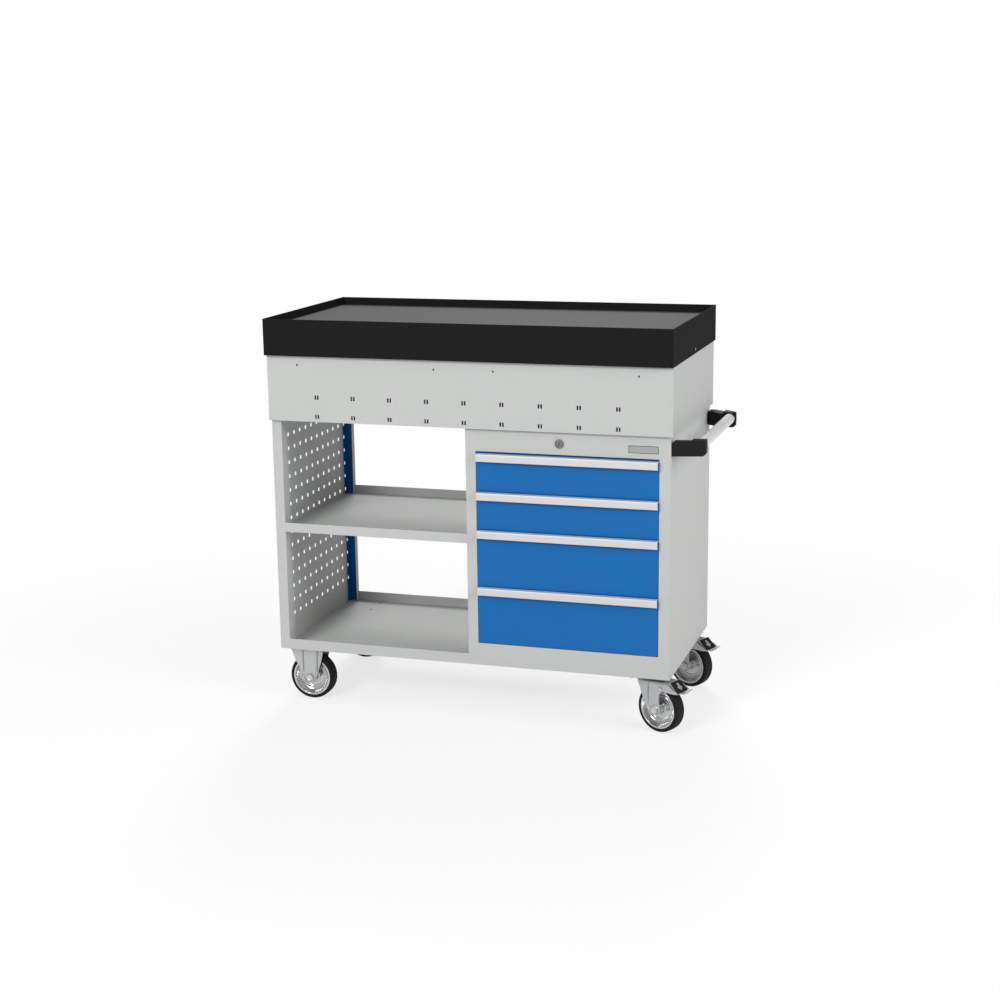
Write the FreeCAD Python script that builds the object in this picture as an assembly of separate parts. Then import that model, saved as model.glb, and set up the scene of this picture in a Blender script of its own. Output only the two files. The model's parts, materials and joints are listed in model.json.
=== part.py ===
import FreeCAD, Part
import math
import os
from FreeCAD import Vector

# Mobile workbench: a black top tray on a sheet-steel housing, a cabinet with an
# open bay on the left and a stack of drawers on the right, on four castors.
# Millimetres. X runs from the tray's left face, Y back from the tray's front
# face and Z up from the floor; save() moves all of it so that the origin lies
# on the floor at the centre of the overall footprint.

# ---- top tray -------------------------------------------------------------
tray_width = 1077.0
tray_depth = 543.0
tray_skirt = 94.5            # height of the skirt, rim to lower edge
tray_wall = 1.5
tray_recess = 21.5           # mat surface below the rim
mat_thickness = 3.0
mat_gap = 0.2                # mat edge to the skirt

# ---- housing between tray and cabinet --------------------------------------
sheet = 1.5                  # panels of housing and cabinet
housing_height = 240.0
housing_overlap = 16.0       # how far the housing laps down over the cabinet
housing_side_inset = 2.5
housing_front_inset = 12.0
housing_flange = 20.0
screw_hole_radius = 2.5
screw_hole_offsets = (78.5, 451.5)   # from the middle, to each side
screw_hole_drop = 93.0       # below the top of the housing
slot_width = 4.4
slot_height = 11.0
slot_spacing = 6.8           # between the two slots of a pair
slot_pitch = 100.0
slot_pairs = 9
slot_row_drops = (176.0, 226.0)      # below the top of the housing
floor_fold = 13.5            # folded front edge of the housing's floor
floor_fold_gap = 0.3         # between that edge and the posts

# ---- cabinet -----------------------------------------------------------------
cabinet_height = 640.0
cabinet_left_inset = 4.5
cabinet_right_inset = 8.5
cabinet_front_inset = 23.5
bottom_sheet = 2.0
left_stile = 26.5
left_stile_return = 34.0
rear_post_return = 17.5
bay_width = 506.5            # between the left stile and the middle stile
middle_stile = 27.0
right_stile = 29.0
frame_return = 20.0          # turned-in edge round the drawer opening
bottom_rail = 59.0
shelf_height = 323.0         # underside of the shelf above the cabinet's base
shelf_lip = 25.0
bottom_lip = 28.0
hole_side = 10.0             # square holes of the perforated panel
hole_pitch = 38.0
hole_margin_y = 20.0
hole_margin_z = 70.0
upright_side_leg = 25.0
upright_rear_leg = 18.5

# ---- drawers -------------------------------------------------------------------
front_heights = (99.0, 99.0, 149.0, 151.0)   # from the top drawer down
top_gap = 3.0                # frame to the top drawer's front
front_gap = 1.0              # between two fronts
base_gap = 2.0               # the lowest front to the frame
front_side_gap = 1.0
front_depth = 16.0
front_sheet = 1.2
strip_drop = 2.0             # handle strip below the top of its front
strip_left_inset = 2.5       # strip's left end from the front's left edge
strip_height = 19.5
strip_reach = 14.0
strip_thickness = 1.8
strip_corner = 3.0
box_under = 9.0              # box floor above the front's lower edge
box_over = 20.0              # box rim below the front's upper edge
slide_room = 29.5            # behind the slides, to the cabinet's back
slide_start = 26.5           # behind the cabinet's front face
slide_above_floor = 25.0     # slide centre above the box floor
slide_gap = 0.4
middle_rail = 4.6            # thickness of the middle slide rail
middle_rail_height = 36.0
box_rail = 4.5
box_rail_height = 14.0
fixed_rail_height = 36.0
fixed_rail_overrun = 10.0

# ---- lock and nameplate -----------------------------------------------------------
lock_from_left = 220.5       # from the drawer opening's left edge
lock_above = 28.0            # above the drawer opening
rosette_radius = 12.0
rosette_thickness = 3.0
lock_body_radius = 9.0
plug_radius = 7.0
lock_clearance = 0.05
lock_depth = 22.0
cam_length = 22.0
cam_width = 12.0
cam_thickness = 2.5
plate_width = 75.0
plate_height = 18.5
plate_thickness = 1.0
plate_margin = 2.5           # to the drawer opening's right edge
plate_above = 14.0           # above the drawer opening

# ---- push handle ------------------------------------------------------------------
bracket_length = 84.0
bracket_height = 38.0
bracket_step = 4.5
bracket_drop = 66.0          # bracket's underside below the cabinet's top
front_arm_inset = 1.5        # front arm's foot, behind the cabinet's front face
front_arm_width = 22.0
front_arm_splay = 10.0       # its outer end, behind its foot
rear_arm_inset = 10.5        # rear arm's foot, before the cabinet's back
rear_arm_width = 24.0
rear_arm_crank = 38.0        # its outer end, before its foot
rear_end_width = 11.0
tube_radius = 14.0
tube_wall = 2.0
tube_rise = 24.5             # tube's axis above the brackets' underside
tube_margin = 4.0            # tube to the brackets' outer end
front_tube_seat = 12.0
rear_tube_seat = 8.0
tube_gap = 0.15

# ---- castors ----------------------------------------------------------------------
castor_height = 150.0
wheel_radius = 62.5
rim_radius = 52.5
tyre_width = 34.0
castor_inset = 82.5          # wheel's mid-plane to the tray's front and rear faces
fixed_from_left = 72.5       # fixed axle from the tray's left face
fixed_plate_offset = 7.0     # fixed plate's centre left of its axle
swivel_from_right = 71.0     # king pin from the tray's right face
swivel_offset = 36.0         # trail: axle from the king pin
swivel_turn = -24.0          # degrees that both swivel castors stand turned at rest
castor_plate = (105.0, 85.0, 3.0)
castor_holes = (80.0, 68.0)
bolt_radius = 4.0
bolt_clearance = 0.25
bolt_head_radius = 6.5
bolt_head_height = 5.0
axle_radius = 6.0
axle_head = 5.0
running = 0.05               # radial clearance of every turning fit
hub_half_length = 22.2
hub_radius = 13.0
leg_inner = 22.7
leg_thickness = 3.0
leg_rib = 2.0
crown_thickness = 4.0
race_radius = 33.0
race_gap = 0.3
king_pin_radius = 6.0
pedal_half_width = 22.2
pad_half_width = 17.2
pad_thickness = 2.0
pedal_thickness = 4.0
pedal_ear = 19.2             # mid-plane to the inner face of an ear
pedal_ear_thickness = 3.0
pedal_pin_radius = 3.0

# ---- derived places --------------------------------------------------------------
cabinet_base = castor_height
cabinet_top = cabinet_base + cabinet_height
cabinet_left = cabinet_left_inset
cabinet_right = tray_width - cabinet_right_inset
cabinet_front = cabinet_front_inset
cabinet_back = tray_depth - cabinet_front_inset
skin_left = cabinet_left + sheet
skin_right = cabinet_right - sheet
face_back = cabinet_front + sheet
rear_face = cabinet_back - sheet
floor_top = cabinet_base + bottom_sheet

bay_left = cabinet_left + left_stile
bay_right = bay_left + bay_width
opening_left = bay_right + middle_stile
opening_right = cabinet_right - right_stile
opening_base = cabinet_base + bottom_rail
gaps = top_gap + front_gap * (len(front_heights) - 1) + base_gap
opening_top = opening_base + sum(front_heights) + gaps
opening_middle = (opening_left + opening_right) / 2.0

housing_base = cabinet_top - housing_overlap
housing_top = housing_base + housing_height
mat_base = housing_top + sheet
mat_top = mat_base + mat_thickness
rim = mat_top + tray_recess
middle_x = tray_width / 2.0
middle_y = tray_depth / 2.0

handle_reach = cabinet_right + bracket_length
overall_length = handle_reach
floor_origin = Vector(-overall_length / 2.0, -tray_depth / 2.0, 0.0)


def box(x0, x1, y0, y1, z0, z1):
    """A block between two corners."""
    return Part.makeBox(x1 - x0, y1 - y0, z1 - z0, Vector(x0, y0, z0))


def cylinder(start, axis, radius, length):
    """A round bar from a point along an axis."""
    return Part.makeCylinder(radius, length, Vector(*start), Vector(*axis))


def plate_xz(points, y0, y1):
    """An outline in the X-Z plane, carried from y0 to y1."""
    corners = [Vector(x, y0, z) for x, z in points]
    wire = Part.makePolygon(corners + corners[:1])
    return Part.Face(wire).extrude(Vector(0, y1 - y0, 0))


def bar_yz(edges, x0, x1):
    """A closed profile of edges in the Y-Z plane at x = 0, carried from x0 to x1."""
    wire = Part.Wire(Part.__sortEdges__(edges))
    solid = Part.Face(wire).extrude(Vector(x1 - x0, 0, 0))
    solid.translate(Vector(x0, 0, 0))
    return solid


def hexagon(centre, axis, radius, height):
    """A hexagon head of the given corner radius, from its centre along an axis."""
    direction = Vector(*axis)
    side = Vector(0, 0, 1) if abs(direction.z) < 0.5 else Vector(1, 0, 0)
    other = direction.cross(side)
    corners = []
    for i in range(6):
        angle = math.radians(60.0 * i)
        corners.append(Vector(*centre) + side * (radius * math.cos(angle))
                       + other * (radius * math.sin(angle)))
    wire = Part.makePolygon(corners + corners[:1])
    return Part.Face(wire).extrude(direction * height)


def join(*shapes):
    """One solid from pieces that touch or overlap."""
    whole = shapes[0].fuse(list(shapes[1:]))
    return whole.removeSplitter()


def mirror_x(shape, x):
    """The mirror image about a plane square to X."""
    return shape.mirror(Vector(x, 0, 0), Vector(1, 0, 0))


def mirror_y(shape, y):
    """The mirror image about a plane square to Y."""
    return shape.mirror(Vector(0, y, 0), Vector(0, 1, 0))


def save(name, *shapes):
    """Write one sub-part, moved to the object's own origin."""
    group = Part.Compound(list(shapes)) if len(shapes) > 1 else shapes[0]
    group = group.copy()
    group.translate(floor_origin)
    group.exportStep(os.path.join("parts", name + ".step"))


# ---- top tray, mat and its screws -----------------------------------------------
tray_screw_radius = 2.0
tray_screw_head = 4.0
tray_screw_sink = 1.0
tray_screw_height = 10.5     # above the skirt's lower edge


def side_screw():
    """A flush screw through the right skirt into the housing, in mid-depth."""
    z = rim - tray_skirt + tray_screw_height
    head = cylinder((tray_width, middle_y, z), (-1, 0, 0), tray_screw_head, tray_screw_sink)
    length = tray_wall + housing_side_inset + sheet + 4.0
    shank = cylinder((tray_width, middle_y, z), (-1, 0, 0), tray_screw_radius, length)
    slot = box(tray_width - 0.6, tray_width, middle_y - 3.0, middle_y + 3.0, z - 0.5, z + 0.5)
    return join(head, shank).cut(slot)


def screw_bore(x0, x1, radius):
    """The matching hole for the tray's side screw, between two X places."""
    z = rim - tray_skirt + tray_screw_height
    return cylinder((x0, middle_y, z), (1, 0, 0), radius, x1 - x0)


def top_tray():
    """Skirt and floor of the tray in one piece."""
    skirt_base = rim - tray_skirt
    outer = box(0, tray_width, 0, tray_depth, skirt_base, rim)
    inner = box(tray_wall, tray_width - tray_wall, tray_wall, tray_depth - tray_wall,
                skirt_base - 1, rim + 1)
    floor = box(tray_wall, tray_width - tray_wall, tray_wall, tray_depth - tray_wall,
                housing_top, mat_base)
    tray = join(outer.cut(inner), floor)
    head = screw_bore(tray_width - tray_screw_sink, tray_width + 1, tray_screw_head)
    hole = screw_bore(tray_width - tray_wall - 1, tray_width + 1, tray_screw_radius)
    right = head.fuse(hole)
    return tray.cut([right, mirror_x(right, middle_x)])


def mat():
    """The rubber mat that lies in the tray."""
    edge = tray_wall + mat_gap
    return box(edge, tray_width - edge, edge, tray_depth - edge, mat_base, mat_top)


os.makedirs("parts", exist_ok=True)
save("top_tray", top_tray())
save("tray_mat", mat())
save("tray_screws", side_screw(), mirror_x(side_screw(), middle_x))

# ---- housing -------------------------------------------------------------------------
housing_left = housing_side_inset
housing_right = tray_width - housing_side_inset
housing_front = housing_front_inset
housing_back = tray_depth - housing_front_inset


def housing_face():
    """The housing's front panel, with a turned-in flange along its top."""
    panel = box(housing_left, housing_right, housing_front, housing_front + sheet,
                housing_base, housing_top)
    flange = box(housing_left + sheet, housing_right - sheet, housing_front + sheet,
                 housing_front + housing_flange, housing_top - sheet, housing_top)
    return join(panel, flange)


def housing_openings():
    """Screw holes and pairs of hook slots, as tools to cut the front panel."""
    tools = []
    for offset in screw_hole_offsets:
        for x in (middle_x - offset, middle_x + offset):
            start = (x, housing_front - 1, housing_top - screw_hole_drop)
            tools.append(cylinder(start, (0, 1, 0), screw_hole_radius, sheet + 2))
    first = middle_x - slot_pitch * (slot_pairs - 1) / 2.0
    for drop in slot_row_drops:
        z = housing_top - drop
        for i in range(slot_pairs):
            for side in (-0.5, 0.5):
                x = first + slot_pitch * i + slot_spacing * side
                tools.append(box(x - slot_width / 2, x + slot_width / 2, housing_front - 1,
                                 housing_front + sheet + 1, z - slot_height / 2,
                                 z + slot_height / 2))
    return tools


def housing_end():
    """The housing's right end panel, drilled for the tray's screw."""
    panel = box(housing_right - sheet, housing_right, housing_front + sheet,
                housing_back - sheet, housing_base, housing_top)
    return panel.cut(screw_bore(housing_right - sheet - 1, housing_right + 1,
                                tray_screw_radius))


save("housing_front", housing_face().cut(housing_openings()))
save("housing_back", mirror_y(housing_face(), middle_y))
save("housing_end_right", housing_end())
save("housing_end_left", mirror_x(housing_end(), middle_x))


def housing_floor():
    """Plate on top of the cabinet, its front edge folded down across the bay."""
    plate = box(housing_left + sheet, housing_right - sheet, cabinet_front, cabinet_back,
                cabinet_top, cabinet_top + sheet)
    fold = box(bay_left + floor_fold_gap, bay_right - floor_fold_gap, cabinet_front, face_back,
               cabinet_top - floor_fold, cabinet_top)
    return join(plate, fold)


save("housing_floor", housing_floor())

# ---- cabinet body ------------------------------------------------------------------


def grid(low, high, margin, pitch):
    """Centres of the most holes at a pitch that fit between two edges, in the middle."""
    count = int((high - low - 2 * margin) / pitch) + 1
    first = (low + high) / 2.0 - pitch * (count - 1) / 2.0
    return [first + pitch * i for i in range(count)]


hole_columns = grid(cabinet_front, cabinet_back, hole_margin_y, hole_pitch)
hole_rows = grid(cabinet_base, cabinet_top, hole_margin_z, hole_pitch)


def square_holes(x0, x1, columns):
    """Square holes along X for some columns of the perforated panel."""
    half = hole_side / 2.0
    return [box(x0, x1, y - half, y + half, z - half, z + half)
            for y in columns for z in hole_rows]


def left_panel():
    """The perforated left side."""
    skin = box(cabinet_left, skin_left, cabinet_front, cabinet_back, cabinet_base,
               cabinet_top)
    return skin.cut(square_holes(cabinet_left - 1, skin_left + 1, hole_columns))


def front_post():
    """Left stile: a face and a deep turned-in return."""
    face = box(skin_left, bay_left, cabinet_front, face_back, cabinet_base, cabinet_top)
    turn = box(bay_left - sheet, bay_left, face_back, cabinet_front + left_stile_return,
               floor_top, cabinet_top)
    return join(face, turn)


def rear_post():
    """Rear left post: a rear flange and a short forward lip."""
    face = box(skin_left, bay_left, rear_face, cabinet_back, cabinet_base, cabinet_top)
    turn = box(bay_left - sheet, bay_left, cabinet_back - rear_post_return, rear_face,
               floor_top, cabinet_top)
    return join(face, turn)


def blue_upright():
    """The angle in the bay's rear corner, pierced like the panel behind it."""
    side = box(skin_left, skin_left + sheet, rear_face - upright_side_leg, rear_face,
               floor_top, cabinet_top)
    rear = box(skin_left, skin_left + upright_rear_leg, rear_face - sheet, rear_face,
               floor_top, cabinet_top)
    column = [y for y in hole_columns if y > rear_face - upright_side_leg]
    tools = square_holes(skin_left - 1, skin_left + sheet + 1, column)
    angle = join(side, rear)
    return angle.cut(tools) if tools else angle


def bottom_tray():
    """The cabinet's floor, with lips across the bay at the front and the rear."""
    plate = box(skin_left, skin_right, face_back, rear_face, cabinet_base, floor_top)
    lip = box(bay_left, bay_right, cabinet_front, face_back, cabinet_base,
              cabinet_base + bottom_lip)
    whole = join(plate, lip, mirror_y(lip, middle_y))
    return whole.cut([cylinder((x, y, cabinet_base - 1), (0, 0, 1),
                               bolt_radius + bolt_clearance, bottom_sheet + 2)
                      for x, y in castor_bolt_places()])


def shelf():
    """The bay's shelf, notched round the posts, with lips up at front and rear."""
    base = cabinet_base + shelf_height
    plate = box(skin_left, bay_right, face_back, rear_face, base, base + sheet)
    lip = box(bay_left, bay_right, cabinet_front, face_back, base, base + shelf_lip)
    notches = [
        box(skin_left - 1, bay_left, face_back - 1, cabinet_front + left_stile_return,
            base - 1, base + sheet + 1),
        box(skin_left - 1, bay_left, cabinet_back - rear_post_return, rear_face + 1,
            base - 1, base + sheet + 1),
        box(skin_left - 1, skin_left + sheet, rear_face - upright_side_leg, rear_face + 1,
            base - 1, base + sheet + 1)]
    return join(plate.cut(notches), lip, mirror_y(lip, middle_y))


def drawer_frame():
    """The face round the drawers: two stiles and two rails with turned-in edges."""
    face = box(bay_right, skin_right, cabinet_front, face_back, cabinet_base, cabinet_top)
    turned = box(opening_left - sheet, opening_right + sheet, face_back,
                 face_back + frame_return, opening_base - sheet, opening_top + sheet)
    way = box(opening_left, opening_right, cabinet_front - 1, face_back + frame_return + 1,
              opening_base, opening_top)
    lock_hole = cylinder((lock_x, cabinet_front - 1, lock_z), (0, 1, 0), lock_body_radius,
                         sheet + 2)
    return join(face, turned).cut([way, lock_hole])


def castor_bolt_places():
    """Centres of all castor bolts, four to a plate."""
    places = []
    for x in castor_plate_centres():
        for y in (castor_inset, tray_depth - castor_inset):
            for dx in (-castor_holes[0] / 2, castor_holes[0] / 2):
                for dy in (-castor_holes[1] / 2, castor_holes[1] / 2):
                    places.append((x + dx, y + dy))
    return places


def castor_plate_centres():
    """X places of the fixed and of the swivel castors' plates."""
    return (fixed_from_left - fixed_plate_offset, tray_width - swivel_from_right)


lock_x = opening_left + lock_from_left
lock_z = opening_top + lock_above

save("side_panel_left", left_panel())
save("front_post_left", front_post())
save("rear_post_left", rear_post())
save("rear_upright_blue", blue_upright())
save("bottom_tray", bottom_tray())
save("middle_shelf", shelf())
save("divider_panel", box(bay_right, bay_right + sheet, face_back, rear_face, floor_top,
                          cabinet_top))
save("drawer_frame", drawer_frame())
save("rear_panel", box(bay_right, skin_right, rear_face, cabinet_back, cabinet_base,
                       cabinet_top))


# ---- push handle on the right side ------------------------------------------------
bracket_base = cabinet_top - bracket_drop
bracket_top = bracket_base + bracket_height
front_arm_foot = cabinet_front + front_arm_inset
rear_arm_foot = cabinet_back - rear_arm_inset
rear_end_front = rear_arm_foot - rear_arm_width - rear_arm_crank
tube_x = handle_reach - tube_radius - tube_margin
tube_z = bracket_base + tube_rise
tube_start = front_arm_foot + front_arm_splay + front_arm_width - front_tube_seat
tube_end = rear_end_front + rear_tube_seat
handle_screw_radius = 3.0
handle_screw_depth = 20.0
handle_screw_heights = (11.0, 27.0)
handle_screw_places = (front_arm_foot + front_arm_width / 2.0,
                       rear_arm_foot - rear_arm_width / 2.0)


def handle_screw(y, up):
    """A screw that holds a bracket, put in from inside the cabinet."""
    z = bracket_base + up
    head = hexagon((skin_right, y, z), (-1, 0, 0), 5.5, 4.0)
    shank = cylinder((skin_right, y, z), (1, 0, 0), handle_screw_radius,
                     sheet + handle_screw_depth)
    return join(head, shank)


def handle_screw_bores():
    """Holes for the screws of both brackets."""
    return [cylinder((skin_right - 1, y, bracket_base + up), (1, 0, 0), handle_screw_radius,
                     sheet + handle_screw_depth + 1)
            for y in handle_screw_places for up in handle_screw_heights]


def handle_bracket(plan, tube_from, tube_to):
    """A chamfered arm with a raised outer half, cut to its outline seen from above."""
    step_x = cabinet_right + bracket_length * 0.57
    outline = [(cabinet_right, bracket_base), (handle_reach - 7, bracket_base + 2),
               (handle_reach - 1, bracket_base + 7.5), (handle_reach, bracket_base + 24),
               (handle_reach - 1, bracket_top + bracket_step),
               (step_x + 2, bracket_top + bracket_step), (step_x, bracket_top),
               (cabinet_right + 6, bracket_top), (cabinet_right, bracket_top - 6)]
    block = plate_xz(outline, cabinet_front, cabinet_back)
    corners = [Vector(x, y, bracket_base - 1) for x, y in plan]
    wire = Part.makePolygon(corners + corners[:1])
    arm = block.common(Part.Face(wire).extrude(Vector(0, 0, bracket_height + bracket_step + 2)))
    seat = cylinder((tube_x, tube_from, tube_z), (0, 1, 0), tube_radius + tube_gap,
                    tube_to - tube_from)
    return arm.cut([seat] + handle_screw_bores())


def front_bracket():
    """The front arm, straight and slightly splayed."""
    back = front_arm_foot + front_arm_width
    plan = [(cabinet_right, front_arm_foot), (handle_reach, front_arm_foot + front_arm_splay),
            (handle_reach, back + front_arm_splay), (cabinet_right, back)]
    return handle_bracket(plan, tube_start, tube_start + front_arm_width)


def rear_bracket():
    """The rear arm, cranked forward from its foot."""
    front = rear_arm_foot - rear_arm_width
    plan = [(cabinet_right, front), (cabinet_right + bracket_length * 0.52, rear_end_front),
            (handle_reach, rear_end_front), (handle_reach, rear_end_front + rear_end_width),
            (cabinet_right + bracket_length * 0.23, rear_arm_foot),
            (cabinet_right, rear_arm_foot)]
    return handle_bracket(plan, tube_end - rear_arm_width, tube_end)


def handle_tube():
    """The tube between the two brackets."""
    outer = cylinder((tube_x, tube_start, tube_z), (0, 1, 0), tube_radius,
                     tube_end - tube_start)
    inner = cylinder((tube_x, tube_start - 1, tube_z), (0, 1, 0), tube_radius - tube_wall,
                     tube_end - tube_start + 2)
    return outer.cut(inner)


right_skin = box(skin_right, cabinet_right, cabinet_front, cabinet_back, cabinet_base,
                 cabinet_top)
save("side_panel_right", right_skin.cut(handle_screw_bores()))
save("handle_bracket_front", front_bracket())
save("handle_bracket_rear", rear_bracket())
save("handle_tube", handle_tube())
save("handle_screws", *[handle_screw(y, up) for y in handle_screw_places
                        for up in handle_screw_heights])

# ---- lock and nameplate -----------------------------------------------------------


def lock_body():
    """Rosette and barrel of the lock, bored for the plug."""
    front = cabinet_front - rosette_thickness
    rosette = cylinder((lock_x, front, lock_z), (0, 1, 0), rosette_radius,
                       rosette_thickness)
    barrel = cylinder((lock_x, cabinet_front, lock_z), (0, 1, 0), lock_body_radius,
                      lock_depth)
    bore = cylinder((lock_x, front - 1, lock_z), (0, 1, 0), plug_radius + lock_clearance,
                    lock_depth + rosette_thickness + 2)
    return join(rosette, barrel).cut(bore)


def lock_plug():
    """The turning plug with its keyhole and the cam behind it."""
    front = cabinet_front - rosette_thickness
    length = rosette_thickness + lock_depth + race_gap
    plug = cylinder((lock_x, front, lock_z), (0, 1, 0), plug_radius, length)
    keyhole = box(lock_x - 1, lock_x + 1, front - 1, front + 8, lock_z - 4, lock_z + 4)
    cam_y = front + length
    cam = box(lock_x - cam_width / 2, lock_x + cam_length, cam_y, cam_y + cam_thickness,
              lock_z - cam_width / 2, lock_z + cam_width / 2)
    return join(plug.cut(keyhole), cam)


def nameplate():
    """A blank plate with a shallow border."""
    right = opening_right - plate_margin
    low = opening_top + plate_above
    plate = box(right - plate_width, right, cabinet_front - plate_thickness, cabinet_front,
                low, low + plate_height)
    field = box(right - plate_width + 1.2, right - 1.2, cabinet_front - plate_thickness - 1,
                cabinet_front - plate_thickness + 0.3, low + 1.2, low + plate_height - 1.2)
    return plate.cut(field)


save("lock_body", lock_body())
save("lock_cylinder", lock_plug())
save("nameplate", nameplate())

# ---- drawers and their slides -------------------------------------------------------
front_left = opening_left + front_side_gap
front_right = opening_right - front_side_gap
rail_left = opening_left + 0.5
box_left = rail_left + middle_rail + slide_gap + box_rail
box_right = 2 * opening_middle - box_left
slide_y = cabinet_front + slide_start
slide_end = cabinet_back - slide_room


def drawer_levels():
    """Lower and upper edge of each drawer front, from the top one down."""
    levels = []
    top = opening_top - top_gap
    for height in front_heights:
        levels.append((top - height, top))
        top -= height + front_gap
    return levels


def drawer_front(low, high):
    """A folded front pan, open at the back."""
    pan = box(front_left, front_right, cabinet_front, cabinet_front + front_depth, low, high)
    hollow = box(front_left + front_sheet, front_right - front_sheet,
                 cabinet_front + front_sheet, cabinet_front + front_depth + 1,
                 low + front_sheet, high - front_sheet)
    return pan.cut(hollow)


def drawer_strip(high):
    """The handle strip: a hood with a rounded nose and a hanging lip."""
    top = high - strip_drop
    back = cabinet_front
    nose = back - strip_reach
    r = strip_corner
    t = strip_thickness
    turn = math.sqrt(0.5)
    a = Vector(0, back, top)
    b = Vector(0, nose + r, top)
    m = Vector(0, nose + r - r * turn, top - r + r * turn)
    c = Vector(0, nose, top - r)
    d = Vector(0, nose, top - strip_height)
    e = Vector(0, nose + t, top - strip_height)
    f = Vector(0, nose + t, top - t)
    g = Vector(0, back, top - t)
    edges = [Part.LineSegment(a, b).toShape(), Part.Arc(b, m, c).toShape()]
    for p, q in ((c, d), (d, e), (e, f), (f, g), (g, a)):
        edges.append(Part.LineSegment(p, q).toShape())
    return bar_yz(edges, front_left + strip_left_inset, front_right)


def drawer_box(low, high):
    """An open box with a slide rail along each side."""
    base = low + box_under
    top = high - box_over
    start = cabinet_front + front_sheet
    outer = box(box_left, box_right, start, slide_end, base, top)
    hollow = box(box_left + front_sheet, box_right - front_sheet, start + front_sheet,
                 slide_end - front_sheet, base + front_sheet, top + 1)
    z = base + slide_above_floor
    rail = box(box_left - box_rail, box_left, slide_y, slide_end, z - box_rail_height / 2,
               z + box_rail_height / 2)
    return join(outer.cut(hollow), rail, mirror_x(rail, opening_middle))


def middle_rails(low):
    """The pair of middle slide rails of one drawer."""
    z = low + box_under + slide_above_floor
    left = box(rail_left, rail_left + middle_rail, slide_y, slide_end,
               z - middle_rail_height / 2, z + middle_rail_height / 2)
    return [left, mirror_x(left, opening_middle)]


def fixed_rails(low):
    """The pair of channels that carry one drawer, on the two inner walls."""
    z = low + box_under + slide_above_floor
    half = fixed_rail_height / 2
    rails = []
    for wall, edge in ((bay_right + sheet, opening_left), (skin_right, opening_right)):
        side = 1 if edge > wall else -1
        near = min(wall, edge)
        far = max(wall, edge)
        outer = box(near, far, slide_y - 4, slide_end + fixed_rail_overrun, z - half,
                    z + half)
        hollow = box(near + sheet * side, far + sheet * side, slide_y - 5,
                     slide_end + fixed_rail_overrun + 1, z - half + sheet,
                     z + half - sheet)
        rails.append(outer.cut(hollow))
    return rails


all_fixed = []
for number, (low, high) in enumerate(drawer_levels(), start=1):
    save("drawer_%d_front" % number, drawer_front(low, high))
    save("drawer_%d_handle" % number, drawer_strip(high))
    save("drawer_%d_box" % number, drawer_box(low, high))
    save("drawer_%d_middle_rails" % number, *middle_rails(low))
    all_fixed.extend(fixed_rails(low))
save("drawer_fixed_rails", *all_fixed)

# ---- castors ----------------------------------------------------------------------------
axle_z = wheel_radius
leg_outer = leg_inner + leg_thickness
plate_base = castor_height - castor_plate[2]


def ring(points, x, y):
    """A ring turned about the axle line from half-section points (radius, along Y)."""
    corners = [Vector(x + r, y + along, axle_z) for r, along in points]
    wire = Part.makePolygon(corners + corners[:1])
    return Part.Face(wire).revolve(Vector(x, y, axle_z), Vector(0, 1, 0), 360)


def wheel_rim(x, y):
    """Hub tube, pressed disc and the flared seat that carries the tyre."""
    half = tyre_width / 2.0
    bore = axle_radius + running
    web = 2.0
    flat = 30.0
    seat = rim_radius - 2.0
    upper = [(bore, hub_half_length), (hub_radius, hub_half_length), (hub_radius, web),
             (flat, web), (seat, half - 5), (seat, half), (rim_radius, half)]
    groove = [(rim_radius, half - 6), (flat + 3, 0)]
    lower = [(r, -along) for r, along in reversed(upper)]
    return ring(upper + groove + [(rim_radius, -half + 6)] + lower, x, y)


def tyre(x, y):
    """Solid rubber tyre with eased shoulders and a slightly crowned tread."""
    half = tyre_width / 2.0
    profile = [(rim_radius, -half), (wheel_radius - 5, -half), (wheel_radius - 1.6, -half + 3),
               (wheel_radius - 0.5, -half + 8), (wheel_radius, -5), (wheel_radius, 5),
               (wheel_radius - 0.5, half - 8), (wheel_radius - 1.6, half - 3),
               (wheel_radius - 5, half), (rim_radius, half)]
    return ring(profile, x, y)


def axle(x, y):
    """Axle bolt with a hexagon head in front and a nut behind."""
    reach = leg_outer + leg_rib
    shank = cylinder((x, y - reach, axle_z), (0, 1, 0), axle_radius, 2 * reach)
    head = hexagon((x, y - reach, axle_z), (0, -1, 0), 10.0, axle_head)
    nut = hexagon((x, y + reach, axle_z), (0, 1, 0), 10.0, axle_head)
    return join(head, shank, nut)


def leg(outline, rib, x, y):
    """One pressed fork leg on the front side, with its raised middle, bored."""
    points = [(x + dx, z) for dx, z in outline]
    plate = plate_xz(points, y - leg_outer, y - leg_inner)
    raised = plate_xz([(x + dx, z) for dx, z in rib], y - leg_outer - leg_rib, y - leg_outer)
    bore = cylinder((x, y - leg_outer - leg_rib - 1, axle_z), (0, 1, 0), axle_radius,
                    leg_thickness + leg_rib + 2)
    return join(plate, raised).cut(bore)


def foot(radius, steps, start, end):
    """Points of an arc round the axle, in degrees from +X towards -Z."""
    angles = [math.radians(start + (end - start) * i / steps) for i in range(steps + 1)]
    return [(radius * math.cos(a), axle_z - radius * math.sin(a)) for a in angles]


def top_plate(x, y, bore):
    """A castor's mounting plate with four bolt holes and, if asked, a centre hole."""
    length, width, thick = castor_plate
    plate = box(x - length / 2, x + length / 2, y - width / 2, y + width / 2, plate_base,
                plate_base + thick)
    tools = [cylinder((x + dx, y + dy, plate_base - 1), (0, 0, 1),
                      bolt_radius + bolt_clearance, thick + 2)
             for dx in (-castor_holes[0] / 2, castor_holes[0] / 2)
             for dy in (-castor_holes[1] / 2, castor_holes[1] / 2)]
    if bore:
        tools.append(cylinder((x, y, plate_base - 1), (0, 0, 1), bore, thick + 2))
    return plate.cut(tools)


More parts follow.
